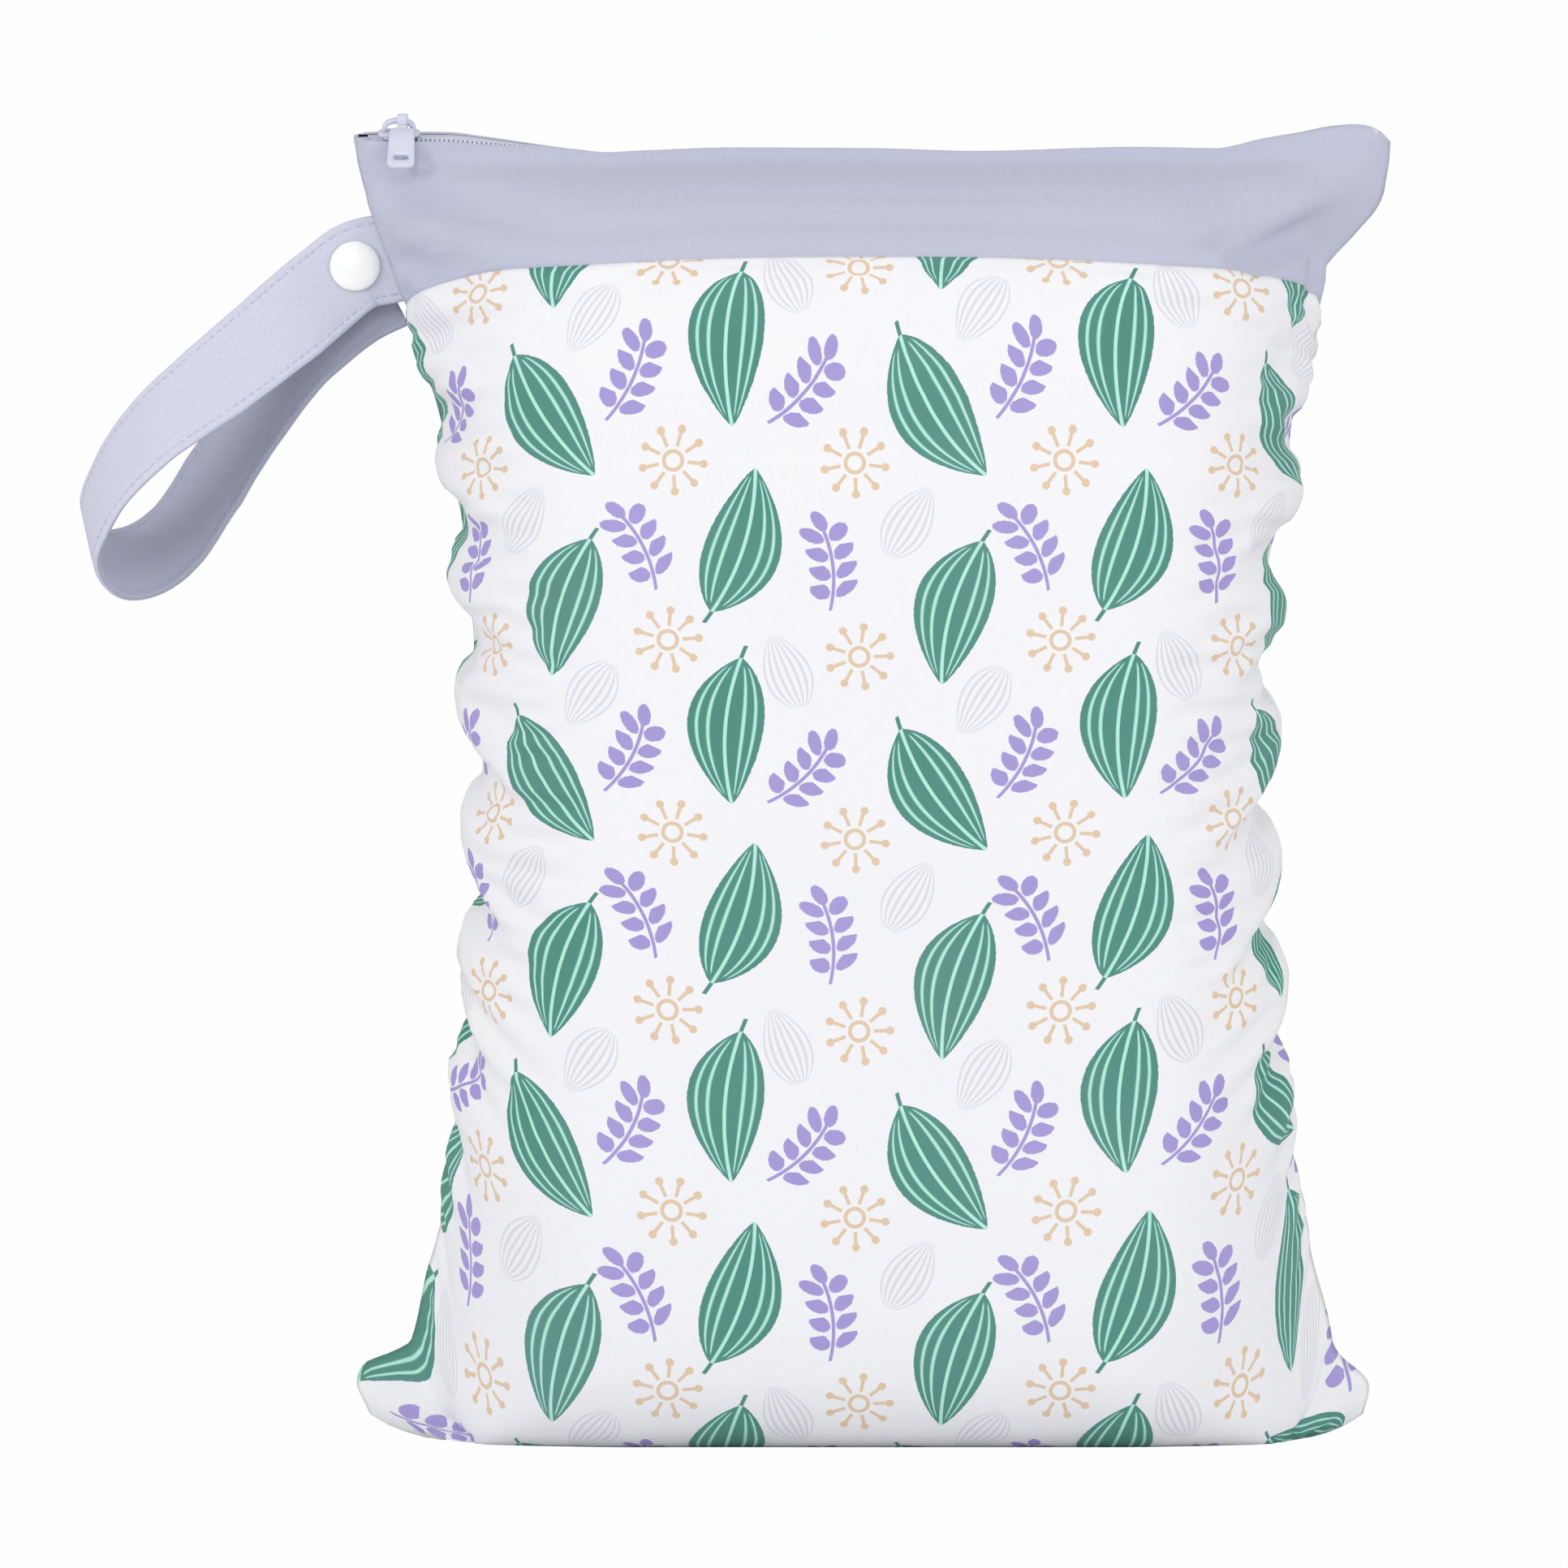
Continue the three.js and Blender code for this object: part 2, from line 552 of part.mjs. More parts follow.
// Heights on the slider, from the zipper's line outward
const upperPlateLow = Math.max(-tapeDrop, -tapeDrop - tapeThick + chainThick) + sliderFree;
const upperPlateTop = upperPlateLow + sliderPlate;
const lowerPlateTop = -tapeDrop - tapeThick - sliderFree;
const barAxis = upperPlateTop + bridgeRise;

// The slider: two plates joined by a post, with a bridge over the upper plate. Z is outward here.
function sliderBody() {
  const plate = (width) => slab(roundedShape(sliderLength, width, 0.28 * width), sliderPlate);
  const upper = plate(sliderWidth).translate(0, 0, upperPlateLow + sliderPlate / 2);
  const lower = plate(sliderUnder).translate(0, 0, lowerPlateTop - sliderPlate / 2);
  const postHeight = upperPlateLow - lowerPlateTop + sliderPlate;
  const post = new THREE.BoxGeometry(postLength, chainWidth * 0.8, postHeight)
    .translate(-sliderLength / 2 + postInset + postLength / 2, 0, (upperPlateLow + lowerPlateTop) / 2);
  const legLength = bridgeRise + bridgeBar / 2 + sliderPlate / 2;
  const legCentre = upperPlateTop - sliderPlate / 2 + legLength / 2;
  const legReach = sliderLength * 0.32;
  const legs = [-1, 1].map((side) => new THREE.BoxGeometry(bridgeBar, bridgeBar, legLength)
    .translate(side * legReach, 0, legCentre));
  const bar = new THREE.BoxGeometry(2 * legReach + bridgeBar, bridgeBar, bridgeBar)
    .translate(0, 0, barAxis);
  const pieces = [upper, lower, post, ...legs, bar].map(solidOf);
  return geometryOf(pieces.reduce((whole, piece) => whole.add(piece)));
}

const eyeHole = (bridgeBar / 2) * Math.SQRT2 + pullFree / 2;
const eyeOuter = eyeHole + pullEyeWall;

// The pull: an eye on the bridge's bar and a flat tab with a slot. X is along the bar and -Z the free end.
function zipperPull() {
  const neck = eyeOuter + pullNeck;
  const eyeShape = new THREE.Shape();
  eyeShape.absarc(0, 0, eyeOuter, 0, 2 * Math.PI, false);
  const hole = new THREE.Path();
  hole.absarc(0, 0, eyeHole, 0, 2 * Math.PI, true);
  eyeShape.holes.push(hole);
  const options = { depth: pullEyeWidth, bevelEnabled: false, curveSegments: 14 };
  const eye = new THREE.ExtrudeGeometry(eyeShape, options)
    .translate(0, 0, -pullEyeWidth / 2).rotateY(Math.PI / 2);
  const overlap = pullThick / 2;
  const neckLength = neck - eyeHole - pullEyeWall / 3;
  const neckBar = new THREE.BoxGeometry(pullEyeWidth, pullThick, neckLength)
    .translate(0, 0, -neck + neckLength / 2);
  const tabLength = pullLength - neck + overlap;
  const tabShape = roundedShape(pullWidth, tabLength, pullCorner);
  const slotPath = roundedShape(pullSlot, pullSlot * 0.45, pullSlot * 0.2);
  const slot = slab(slotPath, pullThick * 3).translate(0, -tabLength * 0.26, 0).rotateX(Math.PI / 2);
  const tab = slab(tabShape, pullThick).rotateX(Math.PI / 2);
  const tabMiddle = -neck + overlap - tabLength / 2;
  const cutTab = solidOf(tab).subtract(solidOf(slot)).translate([0, 0, tabMiddle]);
  return geometryOf(solidOf(eye).add(solidOf(neckBar)).add(cutTab));
}

// How far the pull hangs from the slider's own downward line before it would touch the front band's edge.
function pullAngle(across) {
  const [out, down] = [openHalf(across), barAxis];
  const away = Math.hypot(out, down);
  return Math.atan2(out, down) + Math.asin((pullThick / 2 + pullFree) / away);
}

// The strap's middle line and width direction, from its sewn end round the loop to its free end.
function strapFrames() {
  const seam = clothPoint(-1, strapAtShare, -1);
  const points = strapRoute.map((row) => new THREE.Vector3(seam.x - row.out * strapReach,
    row.back * strapSpread, seam.z - row.down * strapDrop));
  points.unshift(new THREE.Vector3(seam.x + strapTuck, 0, seam.z + 0.35 * strapTuck));
  const turns = [0, ...strapRoute.map((row) => row.turn)];
  const curve = new THREE.CatmullRomCurve3(points, false, 'centripetal');
  const frames = [];
  for (let i = 0; i <= strapSteps; i += 1) {
    const t = i / strapSteps;
    const spot = t * (turns.length - 1);
    const low = Math.min(Math.floor(spot), turns.length - 2);
    const lean = THREE.MathUtils.degToRad(lerp(turns[low], turns[low + 1], spot - low));
    const tangent = curve.getTangent(t);
    const width = new THREE.Vector3(strapLeanShare * Math.cos(lean), -Math.sin(lean), -Math.cos(lean));
    width.addScaledVector(tangent, -width.dot(tangent)).normalize();
    const across = new THREE.Vector3().crossVectors(tangent, width);
    frames.push({ middle: curve.getPoint(t), tangent, width, across });
  }
  return frames;
}

function strapLoop() {
  const [w, t] = [strapWidth / 2, strapThick / 2];
  const round = 0.55 * t;
  const lower = [[-w, -round], [-w + t, -t], [w - t, -t], [w, -round]];
  const section = [...lower, ...lower.map(([a, b]) => [-a, -b])];
  return sweptLoops(strapFrames().map((f) => section.map(([a, b]) => f.middle.clone()
    .addScaledVector(f.width, a).addScaledVector(f.across, b))));
}

// A round snap piece turned about Z: rows are [radius, height].
function turned(rows) {
  const profile = rows.map(([r, z]) => new THREE.Vector2(r, z));
  const geometry = new THREE.LatheGeometry(profile, 20);
  return geometry.rotateX(Math.PI / 2);
}

function snapCap() {
  const r = snapDiameter / 2;
  const shares = [[0, 0], [0.96, 0], [1, 0.3], [0.9, 0.66], [0.62, 0.93], [0, 1]];
  return turned(shares.map(([out, up]) => [out * r, up * snapDome]));
}

// The two clicked halves between the legs: a wide socket and a narrower stud.
function snapCore(length) {
  const r = snapDiameter * 0.31;
  const shares = [[0, 0], [0.9, 0], [1, 0.25], [1, 0.6], [0.7, 0.65], [0.7, 1], [0, 1]];
  return turned(shares.map(([out, up]) => [out * r, up * length]));
}

// Where the line through the front leg, square to it at the snap, meets the back leg.
function snapThrough() {
  const way = frontOut.clone().negate();
  const gap = backLeg.middle.clone().sub(frontLeg.middle);
  return frontLeg.middle.clone().addScaledVector(way, gap.dot(backLeg.across) / way.dot(backLeg.across));
}

const cloth = (color) => new THREE.MeshStandardMaterial({ color, roughness: 0.85, metalness: 0 });
const plastic = (color) => new THREE.MeshStandardMaterial({ color, roughness: 0.35, metalness: 0 });

const bag = new THREE.Group();

function addPiece(name, geometry, material, parent = bag) {
  const mesh = new THREE.Mesh(geometry, material);
  mesh.name = name;
  parent.add(mesh);
  return mesh;
}

addPiece('body_shell', bodyShell(), cloth(0xeef0f3));
addPiece('band_front', bandFace(-1), cloth(0xbfc2d6));
addPiece('band_back', bandFace(1), cloth(0xbfc2d6));
addPiece('zipper_tape_front', zipperTape(-1), cloth(0xc9cbdc));
addPiece('zipper_tape_back', zipperTape(1), cloth(0xc9cbdc));
addPiece('zipper_chain', zipperChain(), plastic(0xd3d4e0));

const sliderAcross = sliderX / -leftCorner;
const sliderPlace = zipperFrame(sliderAcross);
const slider = new THREE.Group();
slider.position.copy(sliderPlace.middle);
slider.rotation.x = sliderPlace.lean;
bag.add(slider);
addPiece('zipper_slider', sliderBody(), plastic(0xcdcedd), slider);
const pull = addPiece('zipper_pull', zipperPull(), plastic(0xd8d9e8), slider);
pull.position.set(pullShift, 0, barAxis);
pull.rotation.x = -pullAngle(sliderAcross);

addPiece('strap_loop', strapLoop(), cloth(0xc6c8da));

// The snap goes through both legs of the strap near the seam: a cap in front, the two clicked halves
// between the legs and a cap behind.
const frames = strapFrames();
const seamX = clothPoint(-1, strapAtShare, -1).x;
const snapAway = (frame) => Math.abs(frame.middle.x - (seamX - snapFromSeam));
const nearSnap = (list) => list.reduce((best, frame) => (snapAway(frame) < snapAway(best) ? frame : best));
const frontLeg = nearSnap(frames.slice(0, strapSteps / 2));
const backLeg = nearSnap(frames.slice(strapSteps / 2));

function placeOn(mesh, from, toward) {
  mesh.position.copy(from);
  mesh.quaternion.setFromUnitVectors(new THREE.Vector3(0, 0, 1), toward.clone().normalize());
}

const faceOff = strapThick / 2 + snapSeat;
const frontOut = frontLeg.across.clone().multiplyScalar(-Math.sign(frontLeg.across.y));
const backOut = backLeg.across.clone().multiplyScalar(Math.sign(backLeg.across.y));
const frontCap = addPiece('snap_cap_front', snapCap(), plastic(0xffffff));
placeOn(frontCap, frontLeg.middle.clone().addScaledVector(frontOut, faceOff), frontOut);
const backCap = addPiece('snap_cap_back', snapCap(), plastic(0xffffff));
backLeg.middle.copy(snapThrough());
placeOn(backCap, backLeg.middle.clone().addScaledVector(backOut, faceOff), backOut);
const coreOff = strapThick / 2 + 1.6 * snapSeat;
const coreFrom = frontLeg.middle.clone().addScaledVector(frontOut, -coreOff);
const coreTo = backLeg.middle.clone().addScaledVector(backOut, -coreOff);
const coreWay = coreTo.clone().sub(coreFrom);
const core = addPiece('snap_core', snapCore(coreWay.length()), plastic(0xf2f2f2));
placeOn(core, coreFrom, coreWay);

export default bag;
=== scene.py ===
import math

import bpy
import numpy as np
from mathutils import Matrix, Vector


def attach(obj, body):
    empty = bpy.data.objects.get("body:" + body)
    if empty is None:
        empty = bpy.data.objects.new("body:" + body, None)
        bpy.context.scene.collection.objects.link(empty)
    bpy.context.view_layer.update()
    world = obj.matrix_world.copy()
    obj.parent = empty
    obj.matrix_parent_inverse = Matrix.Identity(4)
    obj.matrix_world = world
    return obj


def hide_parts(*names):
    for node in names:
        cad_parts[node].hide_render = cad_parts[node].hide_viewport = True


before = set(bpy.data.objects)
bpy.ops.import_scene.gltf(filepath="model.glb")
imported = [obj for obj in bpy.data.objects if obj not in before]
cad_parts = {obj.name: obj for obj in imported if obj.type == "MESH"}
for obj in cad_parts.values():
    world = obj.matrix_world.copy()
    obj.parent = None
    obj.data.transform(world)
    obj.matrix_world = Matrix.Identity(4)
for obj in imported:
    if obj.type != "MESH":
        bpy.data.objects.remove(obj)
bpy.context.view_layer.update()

# A stuffed cloth wet bag that stands on its folded bottom. Lengths are in millimetres until a mesh is
# made, X runs across the bag, Y to the back and Z up.

MM = 0.001

# Sizes of the cloth
CUT_WIDTH = 300
BODY_CUT = 385
BAND_CUT = 50
BAG_HEIGHT = 371.5
STUFFED_DEPTH = 116
CLOTH_WALL = 1.5
SEAM_GAP = 0.3
FLAT_SHARE = 0.43
HALF = CUT_WIDTH / 2
HALF_DEPTH = STUFFED_DEPTH / 2
CORNER_RISE = 0.0215 * BAG_HEIGHT
SIDE_SEAM_RISE = 0.877 * BAG_HEIGHT
HEIGHT_POWER = 2.5

# Sizes of the zipper
ZIP_HALF = 7.5
ZIP_END_HALF = 5.3
ZIP_MARGIN = 6
HAND_WIDTH = 0.036
TAPE_DROP = 0.7
TAPE_THICK = 1.0
TAPE_END = 0.1
TOOTH_PITCH = 1.35
SLIDER_LENGTH = 12
SLIDER_WIDTH = 7.6
SLIDER_INSET = 13
BRIDGE_RISE = 3.2
PULL_LENGTH = 18.5
PULL_WIDTH = 8
PULL_THICK = 1.3
PULL_SHIFT = 1.1

# Sizes of the strap and its snap
STRAP_WIDTH = 26
STRAP_THICK = 2.4
STRAP_REACH = 86.6
STRAP_DROP = 88
STRAP_SPREAD = 21
STRAP_TUCK = 4
STRAP_LEVEL = 1.3
STRAP_FALL = 0.3
STRAP_SHADED_FACE_AT = 40  # where the inner face lies in the strap's cut coordinates, past the start of the strap cloth's painted shade
STITCH, STITCH_STEP = 1.9, 2.6
SNAP_DIAMETER = 14.5
SNAP_FROM_SEAM = 11

# The sheet that relaxes over the load
BODY_ROWS, BAND_ROWS, COLUMNS = 110, 16, 91
RIPPLES, RELAX_TURNS = 80, 150
PUFF, HOLD_BACK = 0.035, 0.012  # mm outward, and share of the way back to the load, in each turn

# level, left and right share of half the cut width
SIDE = [
    (0, 0.959, 0.945), (0.02, 0.981, 0.957), (0.036, 0.986, 0.947), (0.05, 0.958, 0.912),
    (0.061, 0.888, 0.893), (0.085, 0.873, 0.885), (0.13, 0.855, 0.866), (0.2, 0.826, 0.834),
    (0.3, 0.802, 0.807), (0.42, 0.767, 0.779), (0.55, 0.756, 0.759), (0.65, 0.77, 0.76),
    (0.75, 0.789, 0.778), (0.84, 0.812, 0.816), (0.92, 0.85, 0.835), (1.0, 0.89, 0.864),
    (1.2, 0.91, 0.868), (1.38, 0.93, 0.905), (1.55, 0.95, 0.968), (1.7, 0.972, 0.995),
    (1.85, 0.988, 1.0), (2.0, 0.992, 1.0),
]
# level, depth, rise and hold of the middle line
MIDDLE = [
    (0, 0, 0, 0.76), (0.035, 0.23, 0, 0.76), (0.07, 0.46, 0, 0.76), (0.1, 0.65, 0.008, 0.72),
    (0.13, 0.8, 0.029, 0.66), (0.165, 0.9, 0.06, 0.52), (0.22, 0.965, 0.115, 0.34),
    (0.32, 1, 0.215, 0.1), (0.5, 1, 0.4, 0), (0.7, 0.99, 0.6, 0), (0.85, 0.94, 0.752, 0),
    (1, 0.76, 0.907, 0), (1.5, 0.45, 0.962, 0), (2, 0, 1, 0),
]
# across, lift and lean of the zipper's line
ZIPPER = [
    (-1, 0.08, 0.22), (-0.82, 0.075, 0.22), (-0.74, 0.056, 0.17), (-0.66, 0.032, 0.11),
    (-0.58, 0.01, 0.05), (-0.5, -0.018, 0.02), (-0.43, -0.012, 0), (-0.27, 0.004, 0), (0, 0, 0),
    (0.2, -0.016, 0), (0.51, 0.008, 0), (0.66, 0.005, 0.02), (0.75, 0.064, 0.05), (0.83, 0.102, 0.07),
    (0.89, 0.136, 0.08), (0.94, 0.146, 0.08), (0.98, 0.112, 0.08), (1, 0.05, 0.08),
]
# face, across, level, end across, end level, width, depth
CREASES = [
    (-1, -1.0, 1.74, -0.6, 1.24, 0.18, 0.06), (-1, -1.0, 1.52, -0.62, 1.08, 0.15, -0.09),
    (-1, 1.0, 1.34, 0.7, 1.06, 0.18, 0.06), (-1, 1.0, 1.1, 0.8, 0.9, 0.16, 0.05),
    (-1, -0.84, 0.0, -0.86, 0.1, 0.18, 0.09), (1, -1.0, 1.42, -0.6, 1.02, 0.2, 0.09),
    (1, 1.0, 1.4, 0.6, 0.98, 0.2, 0.09), (1, 0.88, 0.0, 0.84, 0.12, 0.2, 0.07),
]
# The same columns: finer folds that only show close up
FINE_CREASES = [
    (-1, 0.99, 1.8, 0.74, 1.24, 0.09, -0.03), (-1, 0.97, 1.62, 0.72, 1.08, 0.09, 0.035),
    (-1, 1.0, 1.3, 0.78, 1.03, 0.07, -0.035), (-1, 1.0, 1.17, 0.82, 0.97, 0.05, 0.03),
    (-1, 0.94, 1.34, 0.92, 0.9, 0.035, 0.02), (-1, 0.975, 1.3, 0.955, 0.88, 0.03, 0.016),
    (-1, 0.9, 1.28, 0.86, 0.92, 0.04, -0.018), (-1, -0.97, 1.3, -0.86, 1.12, 0.06, 0.03),
    (-1, -0.97, 1.1, -0.9, 0.94, 0.05, 0.025), (-1, -0.62, 1.86, -0.3, 1.82, 0.06, 0.012),
    (-1, 0.3, 1.88, 0.62, 1.84, 0.06, 0.01),
]
# side, level, slant, reach, depth of each gather
GATHERS = [
    (-1, 0.17, 0.03, 0.3, 0.05), (-1, 0.27, 0.02, 0.34, 0.06), (-1, 0.37, 0.0, 0.3, 0.05),
    (-1, 0.49, -0.01, 0.36, 0.07), (-1, 0.6, 0.01, 0.3, 0.05), (-1, 0.71, 0.0, 0.34, 0.06),
    (-1, 0.81, -0.03, 0.36, 0.06), (-1, 0.91, -0.04, 0.3, 0.05), (1, 0.14, 0.03, 0.32, 0.05),
    (1, 0.24, 0.02, 0.3, 0.05), (1, 0.35, 0.02, 0.34, 0.06), (1, 0.46, 0.0, 0.38, 0.08),
    (1, 0.57, -0.02, 0.38, 0.08), (1, 0.68, 0.02, 0.3, 0.05), (1, 0.78, 0.0, 0.34, 0.07),
    (1, 0.89, -0.04, 0.34, 0.07),
]
GATHER_WIDTH = 0.034
# out, down, back and turn along the strap
STRAP = [
    (0, 0, 0, 0), (0.109, 0.026, -0.02, 3), (0.216, 0.105, -0.08, 5), (0.347, 0.22, -0.28, 10),
    (0.547, 0.386, -0.52, 21), (0.79, 0.583, -0.6, 35), (0.929, 0.744, -0.41, 41),
    (1.001, 0.905, 0.02, 43), (0.945, 0.997, 0.5, 39), (0.839, 0.982, 0.89, 36),
    (0.735, 0.904, 1.04, 31), (0.609, 0.725, 1, 25), (0.464, 0.51, 0.74, 22), (0.287, 0.277, 0.34, 9),
    (0.14, 0.152, 0.29, 5), (0.012, 0.086, 0.29, 3),
]

rng = np.random.default_rng(7)


def follow(rows, column):
    """A smooth curve through one column of a table over its first, with no overshoot between rows."""
    table = np.array(rows, float)
    at, value = table[:, 0], table[:, column]
    slope = np.diff(value) / np.diff(at)
    before, after = slope[:-1], slope[1:]
    total = np.where(np.abs(before + after) < 1e-12, 1, before + after)
    inner = np.where(before * after <= 0, 0, 2 * before * after / total)
    tangent = np.concatenate([slope[:1], inner, slope[-1:]])

    def curve(t):
        t = np.asarray(t, float)
        i = np.searchsorted(at[1:-1], t, side="left")
        span = at[i + 1] - at[i]
        s = np.clip((t - at[i]) / span, 0, 1)
        s2, s3 = s * s, s * s * s
        return (value[i] * (2 * s3 - 3 * s2 + 1) + tangent[i] * span * (s3 - 2 * s2 + s)
                + value[i + 1] * (3 * s2 - 2 * s3) + tangent[i + 1] * span * (s3 - s2))

    return curve


def smooth(x, low, high):
    t = np.clip((np.asarray(x, float) - low) / (high - low), 0, 1)
    return t * t * (3 - 2 * t)


def lerp(a, b, t):
    return a + (b - a) * t


left_share, right_share = follow(SIDE, 1), follow(SIDE, 2)
middle_depth, middle_rise, middle_hold = (follow(MIDDLE, column) for column in (1, 2, 3))
zipper_lift, zipper_lean = follow(ZIPPER, 1), follow(ZIPPER, 2)


def turn_for(share):
    """The angle that a section turns through when a strip of cloth is drawn in to a share of its cut."""
    wanted = np.clip((share - FLAT_SHARE) / (1 - FLAT_SHARE), 0.3, 0.9999)
    low, high = np.full_like(wanted, 0.001), np.full_like(wanted, 2.6)
    for _ in range(40):
        middle = (low + high) / 2
        wide = np.sin(middle) / middle > wanted
        low, high = np.where(wide, middle, low), np.where(wide, high, middle)
    return (low + high) / 2


def zipper_frame(across):
    across = np.asarray(across, float)
    reach = HALF * np.where(across < 0, left_share(2.0), right_share(2.0))
    lean = zipper_lean(across) * math.pi / 2
    zero = np.zeros_like(across)
    middle = np.stack([across * reach, zero, BAG_HEIGHT + zipper_lift(across) * BAND_CUT], -1)
    to_back = np.stack([zero, np.cos(lean), np.sin(lean)], -1)
    outward = np.stack([zero, -np.sin(lean), np.cos(lean)], -1)
    return middle, to_back, outward


def open_half(across):
    blunt = smooth(1 - np.abs(across), 0, HAND_WIDTH)
    return lerp(CLOTH_WALL + SEAM_GAP / 2, lerp(ZIP_HALF, ZIP_END_HALF, across * across), np.sqrt(blunt))


def strap_room(across, level):
    half_span = (0.5 * STRAP_WIDTH + 2 * SEAM_GAP) / BAND_CUT
    near = 1 - smooth(np.abs(level - STRAP_LEVEL), half_span, half_span * 1.6)
    return np.where(across < 0, near * (STRAP_THICK / 2 + SEAM_GAP) * smooth(-across, 0.8, 0.97), 0)


def pressed(across, level, face, gather=1.0):
    """How far the cloth is pressed in at a place."""
    def along_cut(value):
        value = np.asarray(value, float)
        return np.where(value < 1, (value - 1) * BODY_CUT, (value - 1) * BAND_CUT)

    x, y = across * HALF, along_cut(level)
    depth = np.zeros_like(across)
    for side, a0, l0, a1, l1, width, deep in CREASES + FINE_CREASES:
        x0, y0 = a0 * HALF, float(along_cut(l0))
        run = (a1 * HALF - x0, float(along_cut(l1)) - y0)
        length = math.hypot(*run)
        along = ((x - x0) * run[0] + (y - y0) * run[1]) / length
        away = ((x - x0) * run[1] - (y - y0) * run[0]) / length
        fade = smooth(along, -0.25 * length, 0.3 * length) * (1 - smooth(along, 0.6 * length, 1.15 * length))
        fold = deep * BAND_CUT * fade * np.exp(-((away / (width * BAND_CUT)) ** 2))
        depth += np.where(face == side, fold, 0)
    depth *= 1 - smooth(np.abs(across), 0.9, 1)
    for side, at, slant, reach, deep in GATHERS:
        inward = 1 - np.abs(across)
        away = (level - at - slant * inward / reach) / GATHER_WIDTH
        depth += np.where(side * across < 0, 0,
                          gather * deep * BAND_CUT * np.exp(-away * away) * (1 - smooth(inward, 0, reach)))
    return depth


def cloth_point(across, level, face, gather=1.0, seam=None):
    """A point on the outside of the cloth. across runs from -1 at the left seam to 1 at the right one. level
    is 0 at the bottom fold, 1 at the band's lower edge and 2 at the zipper. face is -1 in front, 1 behind."""
    across, level, face = np.broadcast_arrays(np.asarray(across, float), level, face)
    share = np.where(across < 0, left_share(level), right_share(level))
    size = np.abs(across)
    turn = turn_for(share)
    arc = np.clip((size - FLAT_SHARE) / (1 - FLAT_SHARE), 0, 1) * turn
    span = np.where(size < FLAT_SHARE, size, FLAT_SHARE + (1 - FLAT_SHARE) * np.sin(arc) / turn)
    section = 1 - (1 - np.cos(arc)) / (1 - np.cos(turn))

    middle, to_back, _ = zipper_frame(across)
    edge = middle + to_back * (face * open_half(across))[..., None]
    upper = smooth(level, 1.45, 2)
    hold = middle_hold(level)
    drop = np.clip((size - hold) / (1 - hold), 0, 1) ** HEIGHT_POWER
    side_rise = np.where(level < 1, lerp(CORNER_RISE, SIDE_SEAM_RISE, level),
                         lerp(SIDE_SEAM_RISE, edge[..., 2], level - 1))
    lifted = np.where(level < 1, 0, (edge[..., 2] - BAG_HEIGHT) * (level - 1))
    z = lerp(middle_rise(level) * BAG_HEIGHT + lifted, side_rise, drop)

    folded = SEAM_GAP / 2 + CLOTH_WALL * np.maximum(0.25, np.cos(turn)) if seam is None else seam
    edge_y = folded * np.minimum(1, np.sqrt(np.maximum(level, 0) / 0.03)) + strap_room(across, level)
    middle_y = middle_depth(level) * HALF_DEPTH + ZIP_HALF * smooth(level, 1, 2)
    lens = edge_y + np.maximum(0, middle_y - edge_y) * section
    y = lerp(face * lens, edge[..., 1], upper ** 2)
    dent = pressed(across, level, face, gather) * (1 - upper ** 2) * smooth(level, 0, 0.06)
    side = np.sign(across)
    return np.stack([side * span * HALF - side * np.sin(arc) * dent, y - face * np.cos(arc) * dent, z], -1)


# ---- meshes ----

def add_mesh(name, points, faces, material, body="bag", uv=None):
    mesh = bpy.data.meshes.new(name)
    mesh.from_pydata((np.asarray(points, float) * MM).tolist(), [], [tuple(int(i) for i in f) for f in faces])
    mesh.update()
    mesh.polygons.foreach_set("use_smooth", [True] * len(mesh.polygons))
    if uv is not None:
        layer = mesh.uv_layers.new(name="cut")
        index = np.empty(len(mesh.loops), int)
        mesh.loops.foreach_get("vertex_index", index)
        layer.data.foreach_set("uv", (np.asarray(uv, float) * MM)[index].ravel())
    obj = bpy.data.objects.new(name, mesh)
    bpy.context.scene.collection.objects.link(obj)
    obj.data.materials.append(material)
    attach(obj, body)
    return obj


def grid_faces(rows, columns, closed=False):
    last = columns if closed else columns - 1
    r, c = np.meshgrid(np.arange(rows - 1), np.arange(last), indexing="ij")
    n = (c + 1) % columns
    a, b = r * columns + c, r * columns + n
    return np.stack([a, b, b + columns, a + columns], -1).reshape(-1, 4)


def lathe(rows, segments=48):
    """A round piece turned about Z from rows of (radius, height); points on the axis are shared."""
    angle = np.arange(segments) * 2 * math.pi / segments
    ring = [(r, z) for r, z in rows if r > 0]
    points = [(r * math.cos(a), r * math.sin(a), z) for r, z in ring for a in angle]
    faces = grid_faces(len(ring), segments, closed=True).tolist()
    for r, z in (rows[0], rows[-1]):
        if r > 0:
            continue
        centre = len(points)
        points.append((0, 0, z))
        base = 0 if (r, z) == rows[0] else (len(ring) - 1) * segments
        faces += [(centre, base + (i + 1) % segments, base + i) if base == 0 else
                  (centre, base + i, base + (i + 1) % segments) for i in range(segments)]
    return np.array(points), faces


def swept(loops):
    """A skin through closed loops of points, with a fan over each end."""
    loops = np.asarray(loops, float)
    rows, columns = loops.shape[:2]
    faces = grid_faces(rows, columns, closed=True).tolist()
    points = loops.reshape(-1, 3)
    for end, order in ((0, -1), (rows - 1, 1)):
        centre = len(points)
        points = np.vstack([points, loops[end].mean(0)])
        for i in range(columns):
            a, b = end * columns + i, end * columns + (i + 1) % columns
            faces.append((centre, a, b) if order > 0 else (centre, b, a))
    return points, faces


def join(parts):
    points, faces, start = [], [], 0
    for p, f in parts:
        points.append(np.asarray(p, float))
        faces += [tuple(i + start for i in face) for face in f]
        start += len(p)
    return np.vstack(points), faces


def unit(v):
    return v / np.maximum(np.linalg.norm(v, axis=-1, keepdims=True), 1e-12)


